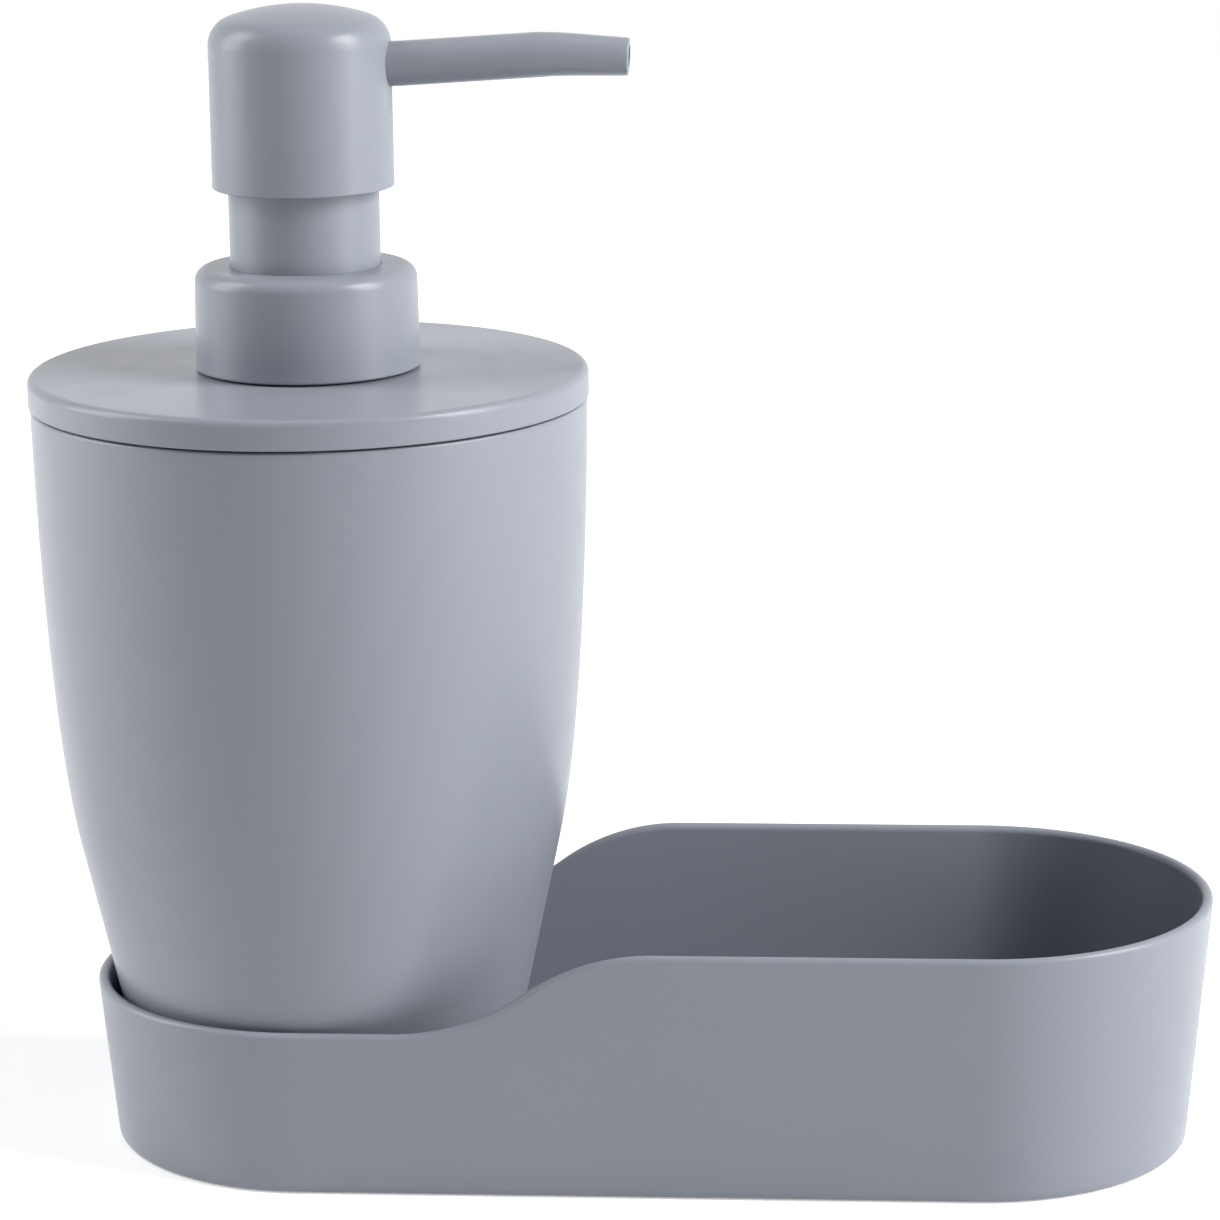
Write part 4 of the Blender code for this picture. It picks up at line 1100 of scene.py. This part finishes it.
bends = rounded(
    [
        (SPOUT_ROOT_X, 0),
        (SPOUT_RISE_X, 0, SPOUT_LOWER_BEND),
        (SPOUT_BEND_X, SPOUT_BEND_RISE, SPOUT_UPPER_BEND),
        (SPOUT_TIP_X, SPOUT_TIP_RISE),
    ],
    SPOUT_BEND_STEPS,
)
path = [Vector(bends[0])]
for bend in map(Vector, bends[1:]):
    start = path[-1]
    parts = max(1, round((bend - start).length / SPOUT_STATION))
    path += [start.lerp(bend, (part + 1) / parts) for part in range(parts)]
stations = []
for before, point, after in zip(path[:1] + path, path, path[1:] + path[-1:]):
    slope = math.atan2(after.y - before.y, after.x - before.x)
    tilt = Matrix.Rotation(math.pi / 2 - slope, 4, "Y")
    stations.append((Matrix.Translation((point.x, 0, SPOUT_LEVEL + point.y)) @ tilt, spout_radius(point.x)))
tip_place, tip_radius = stations.pop()
edge = arc((-SPOUT_TIP_EDGE, tip_radius - SPOUT_TIP_EDGE), SPOUT_TIP_EDGE, math.pi / 2, 0, SPOUT_TIP_STEPS)
outside = stations + [(tip_place @ Matrix.Translation((0, 0, along)), radius) for along, radius in edge]
bore = [(place, radius - SPOUT_WALL) for place, radius in reversed([*stations, (tip_place, tip_radius)])]
rings = outside + bore
place, radius = rings[0]
bm = bmesh.new()
bmesh.ops.create_circle(bm, segments=SPOUT_SIDES, radius=radius, matrix=place)
edges = bm.edges[:]
for next_place, next_radius in rings[1:] + rings[:1]:
    drawn = bmesh.ops.extrude_edge_only(bm, edges=edges)["geom"]
    corners = [item for item in drawn if isinstance(item, bmesh.types.BMVert)]
    edges = [item for item in drawn if isinstance(item, bmesh.types.BMEdge)]
    to_next = next_place @ Matrix.Scale(next_radius / radius, 4) @ place.inverted()
    bmesh.ops.transform(bm, matrix=to_next, verts=corners)
    place, radius = next_place, next_radius
bmesh.ops.remove_doubles(bm, verts=bm.verts[:], dist=MERGED)
spout = finished("spout_tube", bm, shell_plastic)
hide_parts("spout")
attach(spout, "head")


# Floor and backdrop
# White paper that runs out into a white room. Both show white to the camera and in reflections. Near
# the set the paper glows less, so that it keeps the soft shadow.
FLOOR_SIZE = 3.0
FLOOR_COLOUR = "F2F2F2"
FLOOR_GLOW = 0.4
FLOOR_DIM_REACH = 0.4
FLOOR_FADE_REACH = 1.0
FLOOR_CLEARANCE = 0.05 * MM
FLOOR_ROUGHNESS = 0.9


def white_to_eye(shaded):
    """A socket that is 1 for what the camera sees straight, mirrored or through glass."""
    ray = add(shaded, "ShaderNodeLightPath", {}).outputs
    mirrored = add(
        shaded, "ShaderNodeMath", {0: ray["Is Camera Ray"], 1: ray["Is Glossy Ray"]}, operation="MAXIMUM"
    )
    either = add(
        shaded, "ShaderNodeMath", {0: mirrored.outputs[0], 1: ray["Is Transmission Ray"]}, operation="MAXIMUM"
    )
    return either.outputs[0]


bm = bmesh.new()
bmesh.ops.create_grid(
    bm, x_segments=1, y_segments=1, size=FLOOR_SIZE / 2, matrix=Matrix.Translation((0, 0, -FLOOR_CLEARANCE))
)
paper = bpy.data.materials.new("white_paper")
paper.use_nodes = True
paper_shader = paper.node_tree.nodes["Principled BSDF"]
paper_shader.inputs["Base Color"].default_value = linear(FLOOR_COLOUR)
paper_shader.inputs["Roughness"].default_value = FLOOR_ROUGHNESS
paper_shader.inputs["Specular IOR Level"].default_value = 0.0
paper_shader.inputs["Emission Color"].default_value = (1, 1, 1, 1)
paper_place = add(paper, "ShaderNodeTexCoord", {}).outputs["Object"]
reach = add(paper, "ShaderNodeVectorMath", {0: paper_place}, operation="LENGTH").outputs["Value"]
fade = add(
    paper,
    "ShaderNodeMapRange",
    {
        "Value": reach,
        "From Min": FLOOR_DIM_REACH,
        "From Max": FLOOR_FADE_REACH,
        "To Min": FLOOR_GLOW,
        "To Max": 1.0,
    },
)
glow = add(paper, "ShaderNodeMath", {0: white_to_eye(paper), 1: fade.outputs["Result"]}, operation="MULTIPLY")
paper.node_tree.links.new(glow.outputs[0], paper_shader.inputs["Emission Strength"])
floor = placed("floor", bm)
floor.data.materials.append(paper)

studio = bpy.data.worlds.new("studio")
studio.use_nodes = True
bpy.context.scene.world = studio
background = studio.node_tree.nodes["Background"]
background.inputs["Color"].default_value = (1, 1, 1, 1)
studio.node_tree.links.new(white_to_eye(studio), background.inputs["Strength"])


# Lights
# Two soft boxes, one above the other, stand to the right and a little in front, two weaker ones to the
# left, and a faint one hangs overhead. Nothing lights the set from the camera's side.
AIM = Vector((45, 0, 90)) * MM
LAMP_DISTANCE = 1.1
LAMP_SIZE = 0.5


def soft_box(name, bearing, height, power, width=LAMP_SIZE, depth=LAMP_SIZE):
    """A rectangular lamp that faces the set.

    Its bearing is in degrees to the right of the front, and its height in degrees above the level.
    """
    lamp = bpy.data.lights.new(name, "AREA")
    lamp.shape = "RECTANGLE"
    lamp.size = width
    lamp.size_y = depth
    lamp.energy = power
    made = bpy.data.objects.new(name, lamp)
    around, up = math.radians(bearing), math.radians(height)
    towards = Vector((math.sin(around) * math.cos(up), -math.cos(around) * math.cos(up), math.sin(up)))
    made.location = AIM + towards * LAMP_DISTANCE
    made.rotation_euler = towards.to_track_quat("Z", "Y").to_euler()
    bpy.context.scene.collection.objects.link(made)


soft_box("right_box", bearing=75, height=12, power=6.1)
soft_box("right_top_box", bearing=75, height=38, power=12.2)
soft_box("left_box", bearing=-88, height=12, power=5.6, width=0.65)
soft_box("left_top_box", bearing=-88, height=38, power=6.0)
soft_box("top_box", bearing=0, height=90, power=1.6, width=0.7, depth=0.7)

bpy.context.scene.view_settings.view_transform = "Standard"
